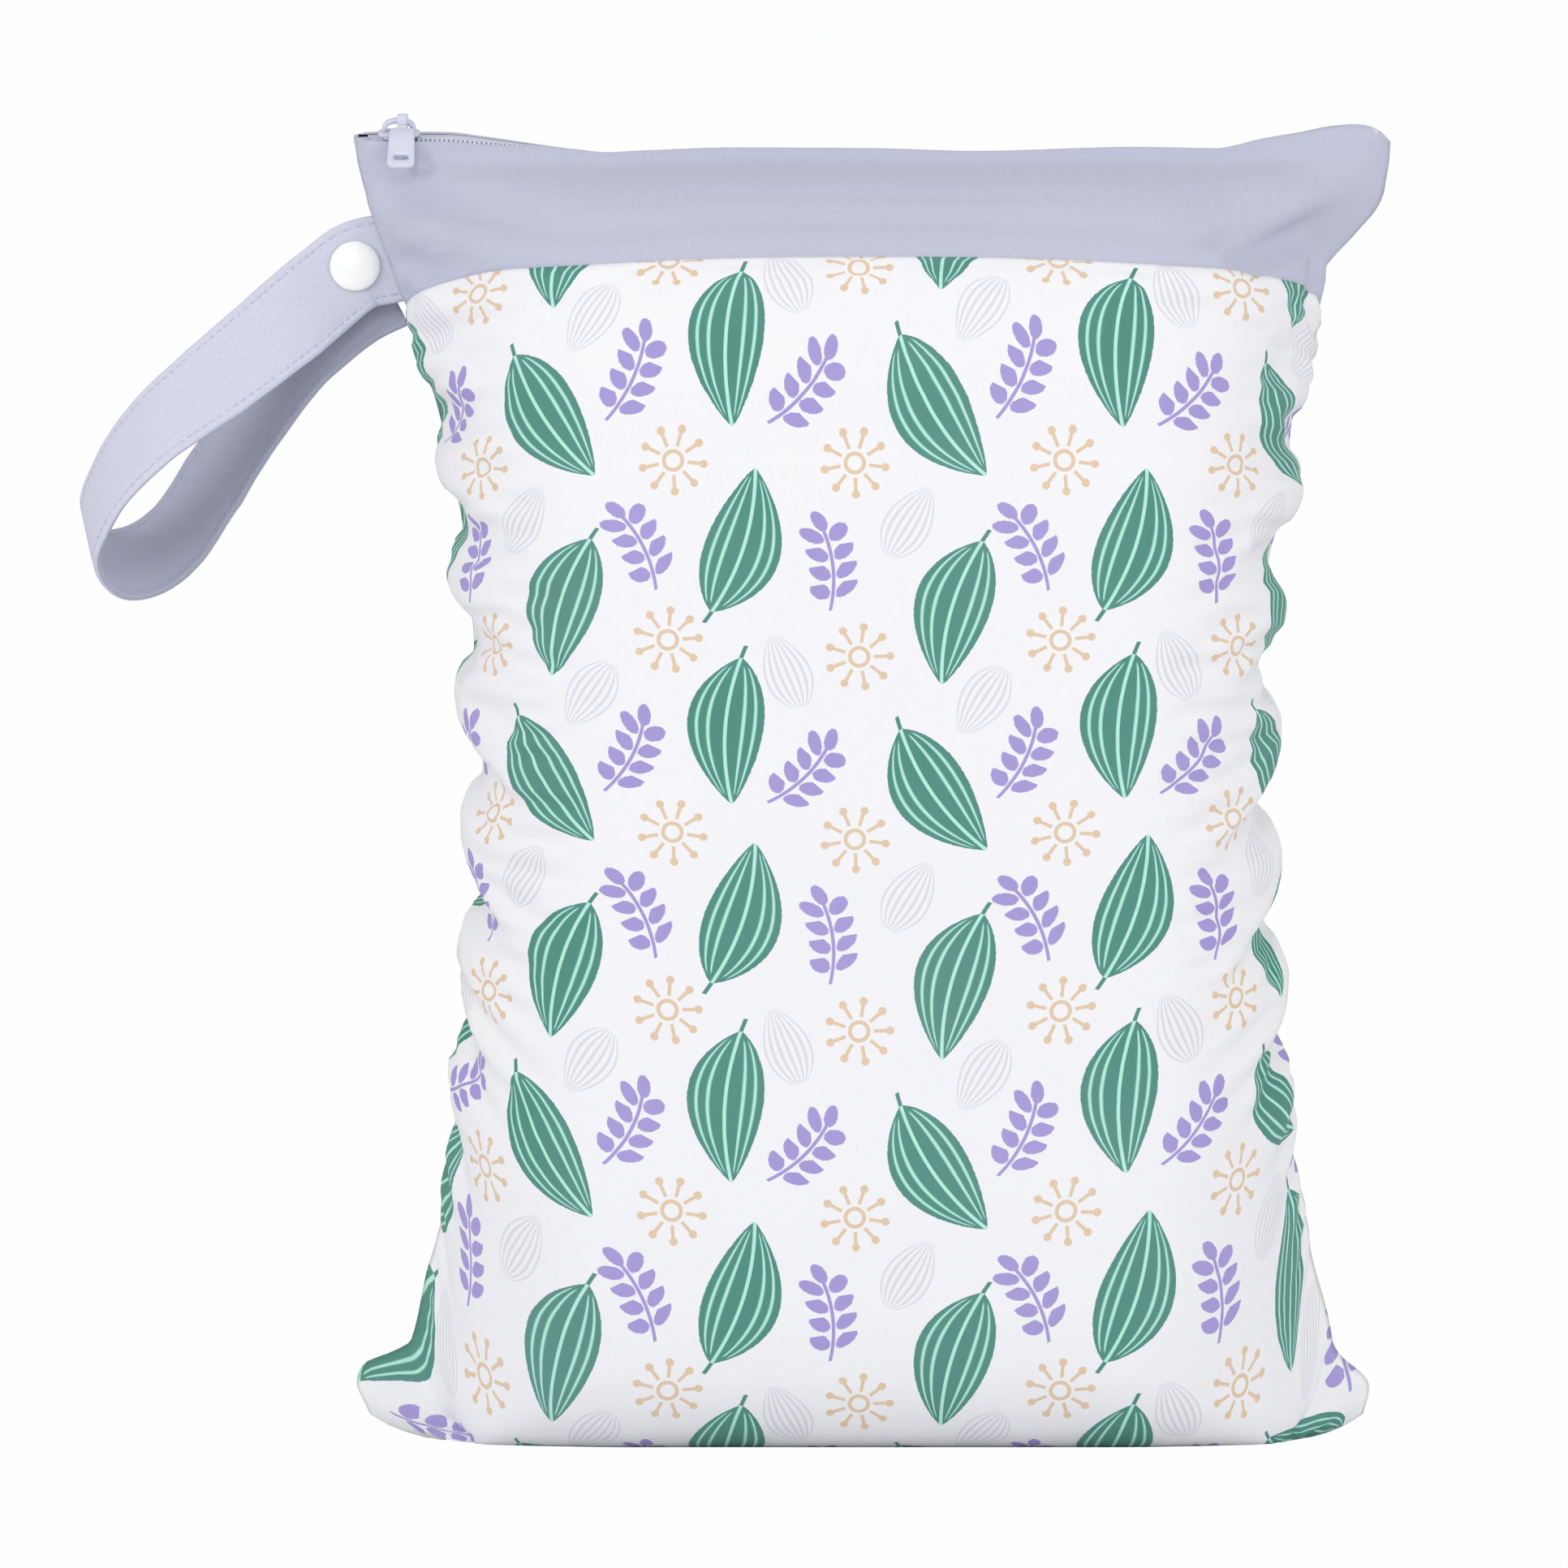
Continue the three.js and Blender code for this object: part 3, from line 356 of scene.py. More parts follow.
def frame_on(points, origin, z_way):
    """Points of a piece made about Z, set at origin with Z along z_way."""
    z = unit(np.asarray(z_way, float))
    x = np.array([1.0, 0.0, 0.0])
    x = unit(x - z * (x @ z))
    y = np.cross(z, x)
    return origin + points[:, :1] * x + points[:, 1:2] * y + points[:, 2:] * z


def rounded_outline(width, height, radius, per_corner=6):
    points = []
    for cx, cy, start in ((1, 1, 0), (-1, 1, 90), (-1, -1, 180), (1, -1, 270)):
        for i in range(per_corner + 1):
            a = math.radians(start + 90 * i / per_corner)
            points.append((cx * (width / 2 - radius) + radius * math.cos(a),
                           cy * (height / 2 - radius) + radius * math.sin(a)))
    return np.array(points)


def soft_plate(outline, thick, round_edge=0.25, crown=0.0, top_share=None):
    """A plate in XY with rounded edges and a slight crown, from its outline. Its flat face is inset from the
    outline by round_edge, or where top_share is given, it is that share of the outline."""
    centre = outline.mean(0)
    away = outline - centre
    share = 1 - round_edge / np.linalg.norm(away, axis=1, keepdims=True) if top_share is None else top_share
    half = thick / 2
    rings = [centre + away * 0.4, centre + away * 0.76, centre + away * share]
    low = list(zip(rings, (-half - crown, -half - crown * 0.6, -half)))
    high = list(zip(rings[::-1], (half, half + crown * 0.6, half + crown)))
    rows = low + [(outline, -half + round_edge), (outline, half - round_edge)] + high
    return swept([np.column_stack([ring, np.full(len(ring), z)]) for ring, z in rows])


# ---- materials ----

def feed(tree, socket, item):
    """Gives a socket a plain value, or links another node's output to it."""
    item = item.value if isinstance(item, Maths) else item
    if isinstance(item, (int, float, tuple)):
        socket.default_value = item
    else:
        tree.links.new(item, socket)


def node_method(operation):
    """A method of Maths that makes one node."""
    def method(self, *others):
        return self.node(operation, *others)
    return method


class Maths:
    """A value in a node tree that can be added, multiplied and compared."""

    def __init__(self, tree, value):
        self.tree, self.value = tree, value

    def node(self, operation, *others):
        node = self.tree.nodes.new("ShaderNodeMath")
        node.operation = operation
        for socket, item in zip(node.inputs, (self, *others)):
            feed(self.tree, socket, item)
        return Maths(self.tree, node.outputs[0])

    __add__ = __radd__ = node_method("ADD")
    __mul__ = __rmul__ = node_method("MULTIPLY")
    __sub__, __truediv__ = node_method("SUBTRACT"), node_method("DIVIDE")
    abs, floor, sqrt = node_method("ABSOLUTE"), node_method("FLOOR"), node_method("SQRT")
    sin, cos, angle = node_method("SINE"), node_method("COSINE"), node_method("ARCTAN2")
    low, high, power = node_method("MINIMUM"), node_method("MAXIMUM"), node_method("POWER")

    def __rsub__(self, other):
        return (self * -1) + other

    def __neg__(self):
        return self * -1

    def inside(self, blur=0.12):
        """1 where the value is below zero, 0 above, with a soft printed edge."""
        node = self.tree.nodes.new("ShaderNodeMapRange")
        node.interpolation_type = "SMOOTHSTEP"
        for socket, value in zip(node.inputs[1:5], (-blur, blur, 1, 0)):
            socket.default_value = value
        self.tree.links.new(self.value, node.inputs[0])
        return Maths(self.tree, node.outputs[0])

    def between(self, size):
        """The value folded into one repeat, from minus half the size to half of it."""
        cell = ((self / size) + 0.5).floor()
        return self - cell * size


def turned(x, y, angle):
    """A place as seen from axes that are turned by an angle, a number or a node's value."""
    if isinstance(angle, (int, float)):
        c, s = math.cos(angle), math.sin(angle)
    else:
        c, s = angle.cos(), angle.sin()
    return x * c + y * s, y * c - x * s


def length(x, y):
    return (x * x + y * y).sqrt()


def new_material(name):
    material = bpy.data.materials.new(name)
    material.use_nodes = True
    tree = material.node_tree
    return material, tree, tree.nodes["Principled BSDF"]


def set_in(node, name, value):
    node.inputs[name].default_value = value


def mix(tree, factor, a, b, kind="RGBA"):
    node = tree.nodes.new("ShaderNodeMix")
    node.data_type = kind
    first, result = (6, 2) if kind == "RGBA" else (4, 1)
    for index, item in ((0, factor), (first, a), (first + 1, b)):
        feed(tree, node.inputs[index], item)
    return node.outputs[result]


def parts_of(tree, vector):
    """The three numbers of a vector."""
    split = tree.nodes.new("ShaderNodeSeparateXYZ")
    tree.links.new(vector, split.inputs[0])
    return [Maths(tree, output) for output in split.outputs]


def linear(r, g, b):
    """A screen colour, from 0 to 255, as linear light."""
    light = [(c / 255) / 12.92 if c <= 10 else (((c / 255) + 0.055) / 1.055) ** 2.4 for c in (r, g, b)]
    return (*light, 1.0)


def noise(tree, vector, scale, detail=2.0, rough=0.5):
    node = tree.nodes.new("ShaderNodeTexNoise")
    set_in(node, "Scale", scale)
    set_in(node, "Detail", detail)
    set_in(node, "Roughness", rough)
    tree.links.new(vector, node.inputs["Vector"])
    return Maths(tree, node.outputs["Fac"])


def bump(tree, shader, height, distance, strength=1.0, after=None):
    node = tree.nodes.new("ShaderNodeBump")
    set_in(node, "Strength", strength)
    set_in(node, "Distance", distance)
    tree.links.new(height.value, node.inputs["Height"])
    if after is not None:
        tree.links.new(after.outputs["Normal"], node.inputs["Normal"])
    tree.links.new(node.outputs["Normal"], shader.inputs["Normal"])
    return node


def cut_coordinates(tree):
    uv = tree.nodes.new("ShaderNodeUVMap")
    uv.uv_map = "cut"
    x, y, _ = parts_of(tree, uv.outputs[0])
    return uv.outputs[0], x * 1000, y * 1000


def knit_height(tree, x, y, pitch):
    """The small loops of a knitted face: rows of short slanted ribs."""
    column = x.between(pitch)
    slant = (column.abs() * -1.0 + y) * (2 * math.pi / (pitch * 0.8))
    return (x * (2 * math.pi / pitch)).cos() * 0.5 + slant.sin() * 0.5


def cloth_face(tree, shader, cut, colour, settings, creping, knit):
    """The face of a cloth. settings are its roughness, sheen and sheen roughness. creping is the scale and the
    strength of its fine unevenness, knit the depth and the strength of its loops."""
    vector, x, y = cut
    tree.links.new(colour, shader.inputs["Base Color"])
    for name, value in zip(("Roughness", "Sheen Weight", "Sheen Roughness"), settings):
        set_in(shader, name, value)
    set_in(shader, "Specular IOR Level", 0.25)
    uneven = bump(tree, shader, noise(tree, vector, creping[0], 3.0), 0.00025, creping[1])
    bump(tree, shader, knit_height(tree, x, y, KNIT_PITCH), *knit, uneven)


# The print: four small motifs in one repeat, on white.
KNIT_PITCH = 0.62
GREEN, MINT = linear(60, 131, 115), linear(180, 236, 217)
LILAC, TAN, PALE = linear(157, 144, 205), linear(219, 193, 161), linear(203, 204, 213)
WHITE = linear(235, 235, 237)
REPEAT_WIDE, REPEAT_HIGH = 110.0, 108.0
# across, up and turn of each motif within the repeat, in millimetres and radians
LEAVES = [(-41.3, 33.3, 3.08), (-35.9, -20.8, -0.29), (17.3, 14.5, 3.74), (22.1, -39.6, 2.87)]
SPRIGS = [(-11.3, -25.2, 0.16), (45.1, -20.4, 0.5), (43.3, 25.6, -0.41), (-17.8, 21.2, -0.73)]
BURSTS = [(54.0, 2.8, 2.68), (52.7, -48.8, 2.88), (-3.7, -53.0, 2.12), (-4.9, 2.0, -2.93)]
DROPS = [(-24.0, 50.5, 0.39), (10.3, -14.6, -0.55), (30.9, 42.1, 2.57)]


def vector_maths(tree, operation, *items):
    node = tree.nodes.new("ShaderNodeVectorMath")
    node.operation = operation
    for socket, item in zip(node.inputs, items):
        feed(tree, socket, item)
    return node.outputs["Value" if operation == "DOT_PRODUCT" else "Vector"]


def nearest_motif(tree, place, places):
    """The place seen from the nearest of a motif's places in the endless repeat, turned with it."""
    best, best_far = None, None
    wide, high = REPEAT_WIDE / 2, REPEAT_HIGH / 2
    for across, up, turn in places:
        local = vector_maths(tree, "SUBTRACT", place, (across, up, -turn))
        local = vector_maths(tree, "WRAP", local, (wide, high, 50.0), (-wide, -high, -50.0))
        flat = vector_maths(tree, "MULTIPLY", local, (1.0, 1.0, 0.0))
        far = Maths(tree, vector_maths(tree, "DOT_PRODUCT", flat, flat))
        if best is None:
            best, best_far = local, far
            continue
        best = mix(tree, far.node("LESS_THAN", best_far), best, local, "VECTOR")
        best_far = best_far.low(far)
    return turned(*parts_of(tree, best))


def pointed_leaf(x, y, half_length, half_width):
    """Below zero inside a leaf that is pointed at both ends, and the share of its width at a place."""
    t = y / half_length
    width = (1 - t * t).high(0.0).power(0.85) * half_width * (1 - t * 0.22)
    return x.abs() - width, x.abs() / width.high(0.05)


def oval(x, y, half_width, half_height):
    return (length(x / half_width, y / half_height) - 1) * min(half_width, half_height)


def printed_cloth():
    material, tree, shader = new_material("printed_cloth")
    vector, x, y = cut_coordinates(tree)
    place = vector_maths(tree, "MULTIPLY", vector, (1000.0, 1000.0, 0.0))
    fray = (noise(tree, vector, 900.0) - 0.5) * 0.5

    lx, ly = nearest_motif(tree, place, LEAVES)
    lx = lx + ly * ly * 0.007
    edge, share = pointed_leaf(lx, ly, 21.5, 10.6)
    leaf = (edge + fray).inside().low((ly.abs() - 21.3).inside())
    rib = (lx.abs() - 0.5).inside()
    inner = ((share - 0.46).abs() - 0.045).inside(0.03)
    outer = ((share - 0.76).abs() - 0.04).inside(0.03)
    lines = rib.high(inner.high(outer) * (ly.abs() - 18.5).inside(0.8)) * leaf
    stem = (lx.abs() - 0.6).inside().low(((ly + 22.6).abs() - 2.4).inside())
    colour = mix(tree, leaf.high(stem), WHITE, GREEN)
    colour = mix(tree, lines * 0.92, colour, MINT)

    lx, ly = nearest_motif(tree, place, SPRIGS)
    lx = lx + ly * ly * 0.014
    ly = ly + 1.2
    stem = (lx.abs() - 0.5).inside().low(((ly + 1.5).abs() - 11.5).inside())
    row = ((ly / 5.3).floor()).high(-2.0).low(1.0)
    ux, uy = turned(lx.abs() - 3.8, ly - (row + 0.5) * 5.3 - 0.9, 0.62)
    pair = (oval(ux, uy, 3.4, 2.0) + fray).inside()
    top = (oval(lx, ly - 12.6, 2.0, 3.0) + fray).inside()
    colour = mix(tree, stem.high(pair).high(top), colour, LILAC)

    lx, ly = nearest_motif(tree, place, BURSTS)
    r = length(lx, ly)
    ring = ((r - 2.6).abs() - 0.55).inside()
    part = (ly.angle(lx) * (9 / (2 * math.pi))).between(1.0)
    beside = part.abs() * r * (2 * math.pi / 9)
    ray = (beside - 0.5).inside().low(((r - 6.0).abs() - 1.9).inside())
    dot = (length(beside, r - 8.7) - 1.15).inside()
    colour = mix(tree, ring.high(ray).high(dot), colour, TAN)

    lx, ly = nearest_motif(tree, place, DROPS)
    edge, share = pointed_leaf(lx, ly, 12.0, 6.3)
    nested = (share * 3.0).between(1.0)
    lines = (nested.abs() - 0.2).inside(0.08).low((edge - 0.2).inside(0.3))
    lines = lines.low((ly.abs() - 11.0).inside())
    colour = mix(tree, lines * 0.75, colour, PALE)

    cast = noise(tree, vector, 9.0, 3.0)
    colour = mix(tree, (cast - 0.5) * 0.2 + 0.06, colour, linear(218, 219, 234))
    cloth_face(tree, shader, (vector, x, y), colour, (0.62, 0.06, 0.4), (420.0, 0.3), (0.00006, 0.35))
    return material


def plain_cloth(name, colour, cast, inner=None, shaded_from=25):
    """inner is a painted shade: a darker colour given to the face whose cut coordinate x lies past shaded_from,
    standing in for the shade inside the strap's loop.
    """
    material, tree, shader = new_material(name)
    vector, x, y = cut_coordinates(tree)
    patch = noise(tree, vector, 14.0, 3.0)
    fine = noise(tree, vector, 900.0, 2.0)
    base = mix(tree, (patch - 0.5) * 0.5 + 0.25, colour, cast)
    base = mix(tree, (fine - 0.5) * 0.3 + 0.12, base, linear(150, 152, 178))
    if inner:
        # painted shade: the face past the threshold takes the darker inner colour in place of real shading
        base = mix(tree, (shaded_from - x).inside(), base, inner)
    cloth_face(tree, shader, (vector, x, y), base, (0.6, 0.1, 0.35), (380.0, 0.4), (0.00007, 0.55))
    return material


def gloss(name, colour, rough=0.3, speck=0.08):
    material, tree, shader = new_material(name)
    place = tree.nodes.new("ShaderNodeTexCoord")
    dust = noise(tree, place.outputs["Object"], 900.0, 3.0)
    base = mix(tree, (dust - 0.5) * speck * 2 + speck, colour, tuple(c * 0.8 for c in colour[:3]) + (1.0,))
    tree.links.new(base, shader.inputs["Base Color"])
    wear = dust * 0.2 + (rough - 0.1)
    tree.links.new(wear.value, shader.inputs["Roughness"])
    bump(tree, shader, noise(tree, place.outputs["Object"], 500.0), 0.00004, 0.4)
    return material


cloth_print = printed_cloth()
cloth_band = plain_cloth("band_cloth", linear(188, 191, 209), linear(201, 203, 219))
# the strap's last colour is a painted shade for the inside of its loop, not a different cloth colour
cloth_strap = plain_cloth("strap_cloth", linear(207, 208, 224), linear(216, 217, 231), linear(178, 180, 199))
tape_weave = plain_cloth("zipper_tape", linear(208, 209, 226), linear(218, 219, 234))
nylon = gloss("zipper_nylon", linear(206, 208, 224), 0.4)
enamel = gloss("slider_enamel", linear(208, 209, 226), 0.28)
resin = gloss("snap_resin", linear(246, 247, 246), 0.22, 0.02)
thread = gloss("thread", linear(188, 190, 210), 0.7)

# ---- the cloth, relaxed over its load ----

def sheet_places():
    """The level and face of each row of the sheet, from the front's zipper edge to the back's."""
    band = 1 + np.arange(BAND_ROWS, 0, -1) / BAND_ROWS
    levels = np.concatenate([band, np.arange(BODY_ROWS, -1, -1) / BODY_ROWS])
    level = np.concatenate([levels, levels[-2::-1]])
    face = np.concatenate([-np.ones(len(levels)), np.ones(len(levels) - 1)])
    return level, face


def relaxed_cloth():
    """One sheet from the front's zipper edge, under the bottom, to the back's. It keeps the lengths of its flat
    cut, so that the spare cloth gathers by itself at the side seams and the corners."""
    level, face = sheet_places()
    across = np.linspace(-1, 1, COLUMNS)
    goal = cloth_point(across[None, :], level[:, None], face[:, None], gather=0.55, seam=0.5)
    cut_y = np.where(level > 1, BODY_CUT + (level - 1) * BAND_CUT, level * BODY_CUT) * -face
    cut_x = across * HALF
    rows, columns = goal.shape[:2]
    step_x = cut_x[1] - cut_x[0]
    step_y = -np.diff(cut_y)
    place = goal.copy()

    size = np.abs(across)[None, :]
    toward_side = smooth(size, 0.45, 0.95)
    cap = 1.0 + 2.9 * toward_side * np.ones((rows, 1))
    cap *= (1 - 0.45 * smooth(level, 1.0, 1.3))[:, None]
    cap *= (0.15 + 0.85 * (1 - smooth(level, 1.55, 2.0)))[:, None]
    cap *= (0.2 + 0.8 * smooth(level, 0.06, 0.16))[:, None]
    cap[:, [0, -1]] = np.minimum(cap[:, [0, -1]], 1.1)

    ripple = np.zeros((rows, columns))
    for _ in range(RIPPLES):
        r0, c0 = rng.uniform(0, rows), rng.choice([-1, 1]) * rng.uniform(0.55, 1.0)
        long, wide = rng.uniform(0.14, 0.45), rng.uniform(4.0, 9.0)
        tilt = rng.uniform(-22, 22)
        row_index = np.arange(rows)[:, None]
        away = (row_index - r0 - tilt * (across[None, :] - c0)) / wide
        ripple += rng.choice([-1, 1]) * np.exp(-away ** 2) * np.exp(-(((across[None, :] - c0) / long) ** 2))
    normal = sheet_normals(goal)
    place += normal * (ripple * 0.9 * toward_side)[..., None]

    links = []

    def link(dr, dc, rest, push, pull):
        for phase in range(2):
            r = np.arange(rows - abs(dr))
            c = np.arange(columns - abs(dc))
            if dr:
                r = r[(r // abs(dr)) % 2 == phase]
            else:
                c = c[(c // abs(dc)) % 2 == phase]
            c0 = c if dc >= 0 else c + abs(dc)
            rr, cc = np.meshgrid(r, c0, indexing="ij")
            links.append((rr, cc, rr + dr, cc + dc, rest(rr), push, pull))

    link(0, 1, lambda r: np.full(r.shape, step_x), 0.55, 0.9)
    link(1, 0, lambda r: step_y[r], 0.55, 0.9)
    link(1, 1, lambda r: np.hypot(step_x, step_y[r]), 0.25, 0.35)
    link(1, -1, lambda r: np.hypot(step_x, step_y[r]), 0.25, 0.35)
    link(0, 2, lambda r: np.full(r.shape, 2 * step_x * 0.97), 0.35, 0.0)
    link(2, 0, lambda r: (step_y[r] + step_y[r + 1]) * 0.97, 0.35, 0.0)
    link(4, 0, lambda r: sum(step_y[r + k] for k in range(4)) * 0.95, 0.25, 0.0)
    link(7, 0, lambda r: sum(step_y[r + k] for k in range(7)) * 0.9, 0.12, 0.0)

    for turn in range(RELAX_TURNS):
        for r0, c0, r1, c1, rest, push, pull in links:
            a, b = place[r0, c0], place[r1, c1]
            gap = b - a
            size_now = np.sqrt((gap * gap).sum(-1))
            off = (size_now - rest) / np.maximum(size_now, 1e-6)
            off *= np.where(off > 0, pull, push) * 0.5
            move = gap * off[..., None]
            place[r0, c0] = a + move
            place[r1, c1] = b - move
        if turn % 5 == 0:
            normal = sheet_normals(place)
        place += normal * PUFF
        place += (goal - place) * HOLD_BACK
        away = place - goal
        far = np.sqrt((away * away).sum(-1))
        place = goal + away * np.minimum(1, cap / np.maximum(far, 1e-6))[..., None]
        for c in (0, columns - 1):
            front, back = place[:, c], place[::-1, c]
            middle = (front + back) / 2
            half = (goal[:, c] - goal[::-1, c]) / 2
            place[:, c] = middle + half
        place[..., 2] = np.maximum(place[..., 2], 0)
        place[[0, -1]] = goal[[0, -1]]
    return place, cut_x, cut_y


def sheet_normals(place):
    along = np.gradient(place, axis=1)
    down = np.gradient(place, axis=0)
    return unit(np.cross(down, along))


def finer(values):
    """Twice as many rows, through a smooth curve."""
    values = np.asarray(values, float)
    first, last = 2 * values[:1] - values[1:2], 2 * values[-1:] - values[-2:-1]
    padded = np.concatenate([first, values, last])
    middle = (9 * (padded[1:-2] + padded[2:-1]) - padded[:-3] - padded[3:]) / 16
    out = np.empty((2 * len(values) - 1,) + values.shape[1:])
    out[0::2] = values
    out[1::2] = middle
    return out


sheet, cut_x, cut_y = relaxed_cloth()
sheet = np.swapaxes(finer(np.swapaxes(finer(sheet), 0, 1)), 0, 1)
cut_x, cut_y = finer(cut_x), finer(cut_y)
band_rows = 2 * BAND_ROWS
sheet_out = sheet_normals(sheet)


def panel(name, rows, material, turned_in, zipper_face=0):
    """A stretch of the sheet whose first and last row are turned in, by the two depths of turned_in. The edge
    at the zipper, the first one in front and the last one behind, is turned onto the tape. At both sides a
    seam allowance runs in between the faces."""
    def grown(rows_of, extra, at_end):
        return np.concatenate([rows_of, extra] if at_end else [extra[::-1], rows_of])

    points, out = sheet[rows], sheet_out[rows]
    uv = np.stack(np.meshgrid(cut_x, cut_y[rows]), -1)
    for at_end, depth in zip((False, True), turned_in):
        edge, inner = (-1, -2) if at_end else (0, 1)
        line, normal = points[edge], out[edge]
        if zipper_face == (1 if at_end else -1):
            _, to_back, outward = zipper_frame(cut_x / HALF)
            way = to_back * -zipper_face
            reach = np.minimum(depth * 1.35, open_half(cut_x / HALF) - 0.3)[:, None]
            extra = [line + way * depth * 0.3 + outward * 0.06, line + way * reach - outward * 0.22]
        else:
            inward = unit(points[inner] - line)
            extra = [line - normal * depth * 0.45 + inward * depth * -0.15,
                     line - normal * depth * 1.6 + inward * depth * 0.1]
        points, uv = grown(points, extra, at_end), grown(uv, [uv[edge]] * 2, at_end)

    points, uv = np.swapaxes(points, 0, 1), np.swapaxes(uv, 0, 1)
    for at_end in (False, True):
        edge = -1 if at_end else 0
        extra = np.stack([points[edge], points[edge]])
        extra[..., 0] += np.array([[-1.2], [-4.0]] if at_end else [[1.2], [4.0]])
        extra[..., 1] = np.sign(extra[..., 1] + 1e-9) * 0.06
        points, uv = grown(points, extra, at_end), grown(uv, [uv[edge]] * 2, at_end)
    points, uv = np.swapaxes(points, 0, 1), np.swapaxes(uv, 0, 1)
    faces = grid_faces(*points.shape[:2])[:, ::-1]
    return add_mesh(name, points.reshape(-1, 3), faces, material, uv=uv.reshape(-1, 2))


total_rows = len(sheet)
back_from = total_rows - band_rows
body = panel("body_cloth", slice(band_rows, back_from), cloth_print, (0.9, 0.9))
front_band = panel("band_front_cloth", slice(0, band_rows + 1), cloth_band, (1.1, 0.9), -1)
back_band = panel("band_back_cloth", slice(back_from - 1, total_rows), cloth_band, (0.9, 1.1), 1)
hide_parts("body_shell")
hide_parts("band_front")
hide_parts("band_back")

# ---- the zipper ----

left_corner, right_corner = -HALF * float(left_share(2.0)), HALF * float(right_share(2.0))
slider_x = left_corner + SLIDER_INSET


def across_of(x):
    return np.where(x < 0, x / -left_corner, x / right_corner)


def on_zipper(x, back, out):
    middle, to_back, outward = zipper_frame(across_of(np.asarray(x, float)))
    back, out = np.asarray(back, float), np.asarray(out, float)
    return middle + to_back * back[..., None] + outward * out[..., None]


def zipper_tape(name, face):
    x = np.linspace(left_corner + TAPE_END, right_corner - TAPE_END, 200)
    wide = open_half(across_of(x))
    inner, outer = 0.15, wide - 0.05
    end_rise = 0.9 * (1 - smooth(np.minimum(x - left_corner, right_corner - x), 1, 6))
    loops = []
    under, upper = -1.2, ((0.08, -0.95), (0.3, -0.85), (0.6, -0.7), (0.82, -0.4), (1.0, -0.12))
    for share, out in ((0, -1.75), (0, under), *upper, (1.0, -1.3), (0.5, -1.8)):
        back = face * (inner + (outer - inner) * share)
        rise = end_rise * (1 - share) if out > under else np.zeros_like(x)
        loops.append(on_zipper(x, back, out + rise))
    loops = np.stack(loops, 1)
    if face < 0:
        loops = loops[:, ::-1]
    points, faces = swept(loops)
    obj = add_mesh(name, points, faces, tape_weave, uv=points[:, :2])
    return obj


def coil_tooth(side):
    """One turn of the coil, a rounded bar along Y that reaches a little past the middle line."""
    rows = []
    angle = np.arange(8) * math.pi / 4
    for back, rise, radius in ((-2.2, -0.65, 0.12), (-2.15, -0.3, 0.42), (-1.9, 0.02, 0.5), (-1.2, 0.2, 0.5),
                               (-0.4, 0.28, 0.52), (0.3, 0.25, 0.55), (0.62, 0.15, 0.5), (0.8, 0.0, 0.2)):
        ring = (radius * 0.92 * np.cos(angle), np.full(8, back), rise + radius * np.sin(angle))
        rows.append(np.stack(ring, -1))
    points, faces = swept(rows)
    points[:, 1] *= -side
    if side > 0:
        faces = [tuple(reversed(f)) for f in faces]
    return points, faces


def zipper_chain():
    parts = []
    x, side = slider_x + SLIDER_LENGTH / 2 - 1.0, 1
    while x < right_corner - ZIP_MARGIN:
        points, faces = coil_tooth(side)
        placed = on_zipper(x + points[:, 0], points[:, 1], points[:, 2] - 0.75)
        parts.append((placed, faces))
        x += TOOTH_PITCH / 2
        side = -side
    points, faces = join(parts)
    obj = add_mesh("zipper_coil", points, faces, nylon)
    return obj


tape_front = zipper_tape("zipper_tape_front_weave", -1)
tape_back = zipper_tape("zipper_tape_back_weave", 1)
coil = zipper_chain()
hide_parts("zipper_tape_front")
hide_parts("zipper_tape_back")
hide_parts("zipper_chain")

upper_low = 0.55
upper_top = upper_low + 1
lower_top = -TAPE_DROP - TAPE_THICK - 0.45
bar_axis = upper_top + BRIDGE_RISE
slider_middle, slider_back, slider_out = zipper_frame(across_of(np.array(slider_x)))


def on_slider(points):
    points = np.asarray(points, float)
    return (slider_middle + np.array([1.0, 0, 0]) * points[:, :1] + slider_back * points[:, 1:2]
            + slider_out * points[:, 2:])


def slider_outline(width, length_x, waist=0.12):
    """The outline of a slider's plate: broad in front, drawn in towards the tail."""
    outline = rounded_outline(length_x, width, width * 0.3, 8)
    tail = smooth(outline[:, 0], -length_x / 2, length_x / 2)
    outline[:, 1] *= 1 - waist * tail
    return outline


def bent_bar(path, half_width, half_thick):
    """A strip along a path in the XZ plane, with soft edges."""
    path = np.asarray(path, float)
    way = unit(np.gradient(path, axis=0))
    side = np.array([0.0, 1.0, 0.0])
    lift = unit(np.cross(way, side))
    section = [(-1, -0.55), (-0.75, -1), (0.75, -1), (1, -0.55), (1, 0.55), (0.75, 1), (-0.75, 1), (-1, 0.55)]
    loops = np.stack([path + side * half_width * a + lift * half_thick * b for a, b in section], 1)
    return swept(loops)


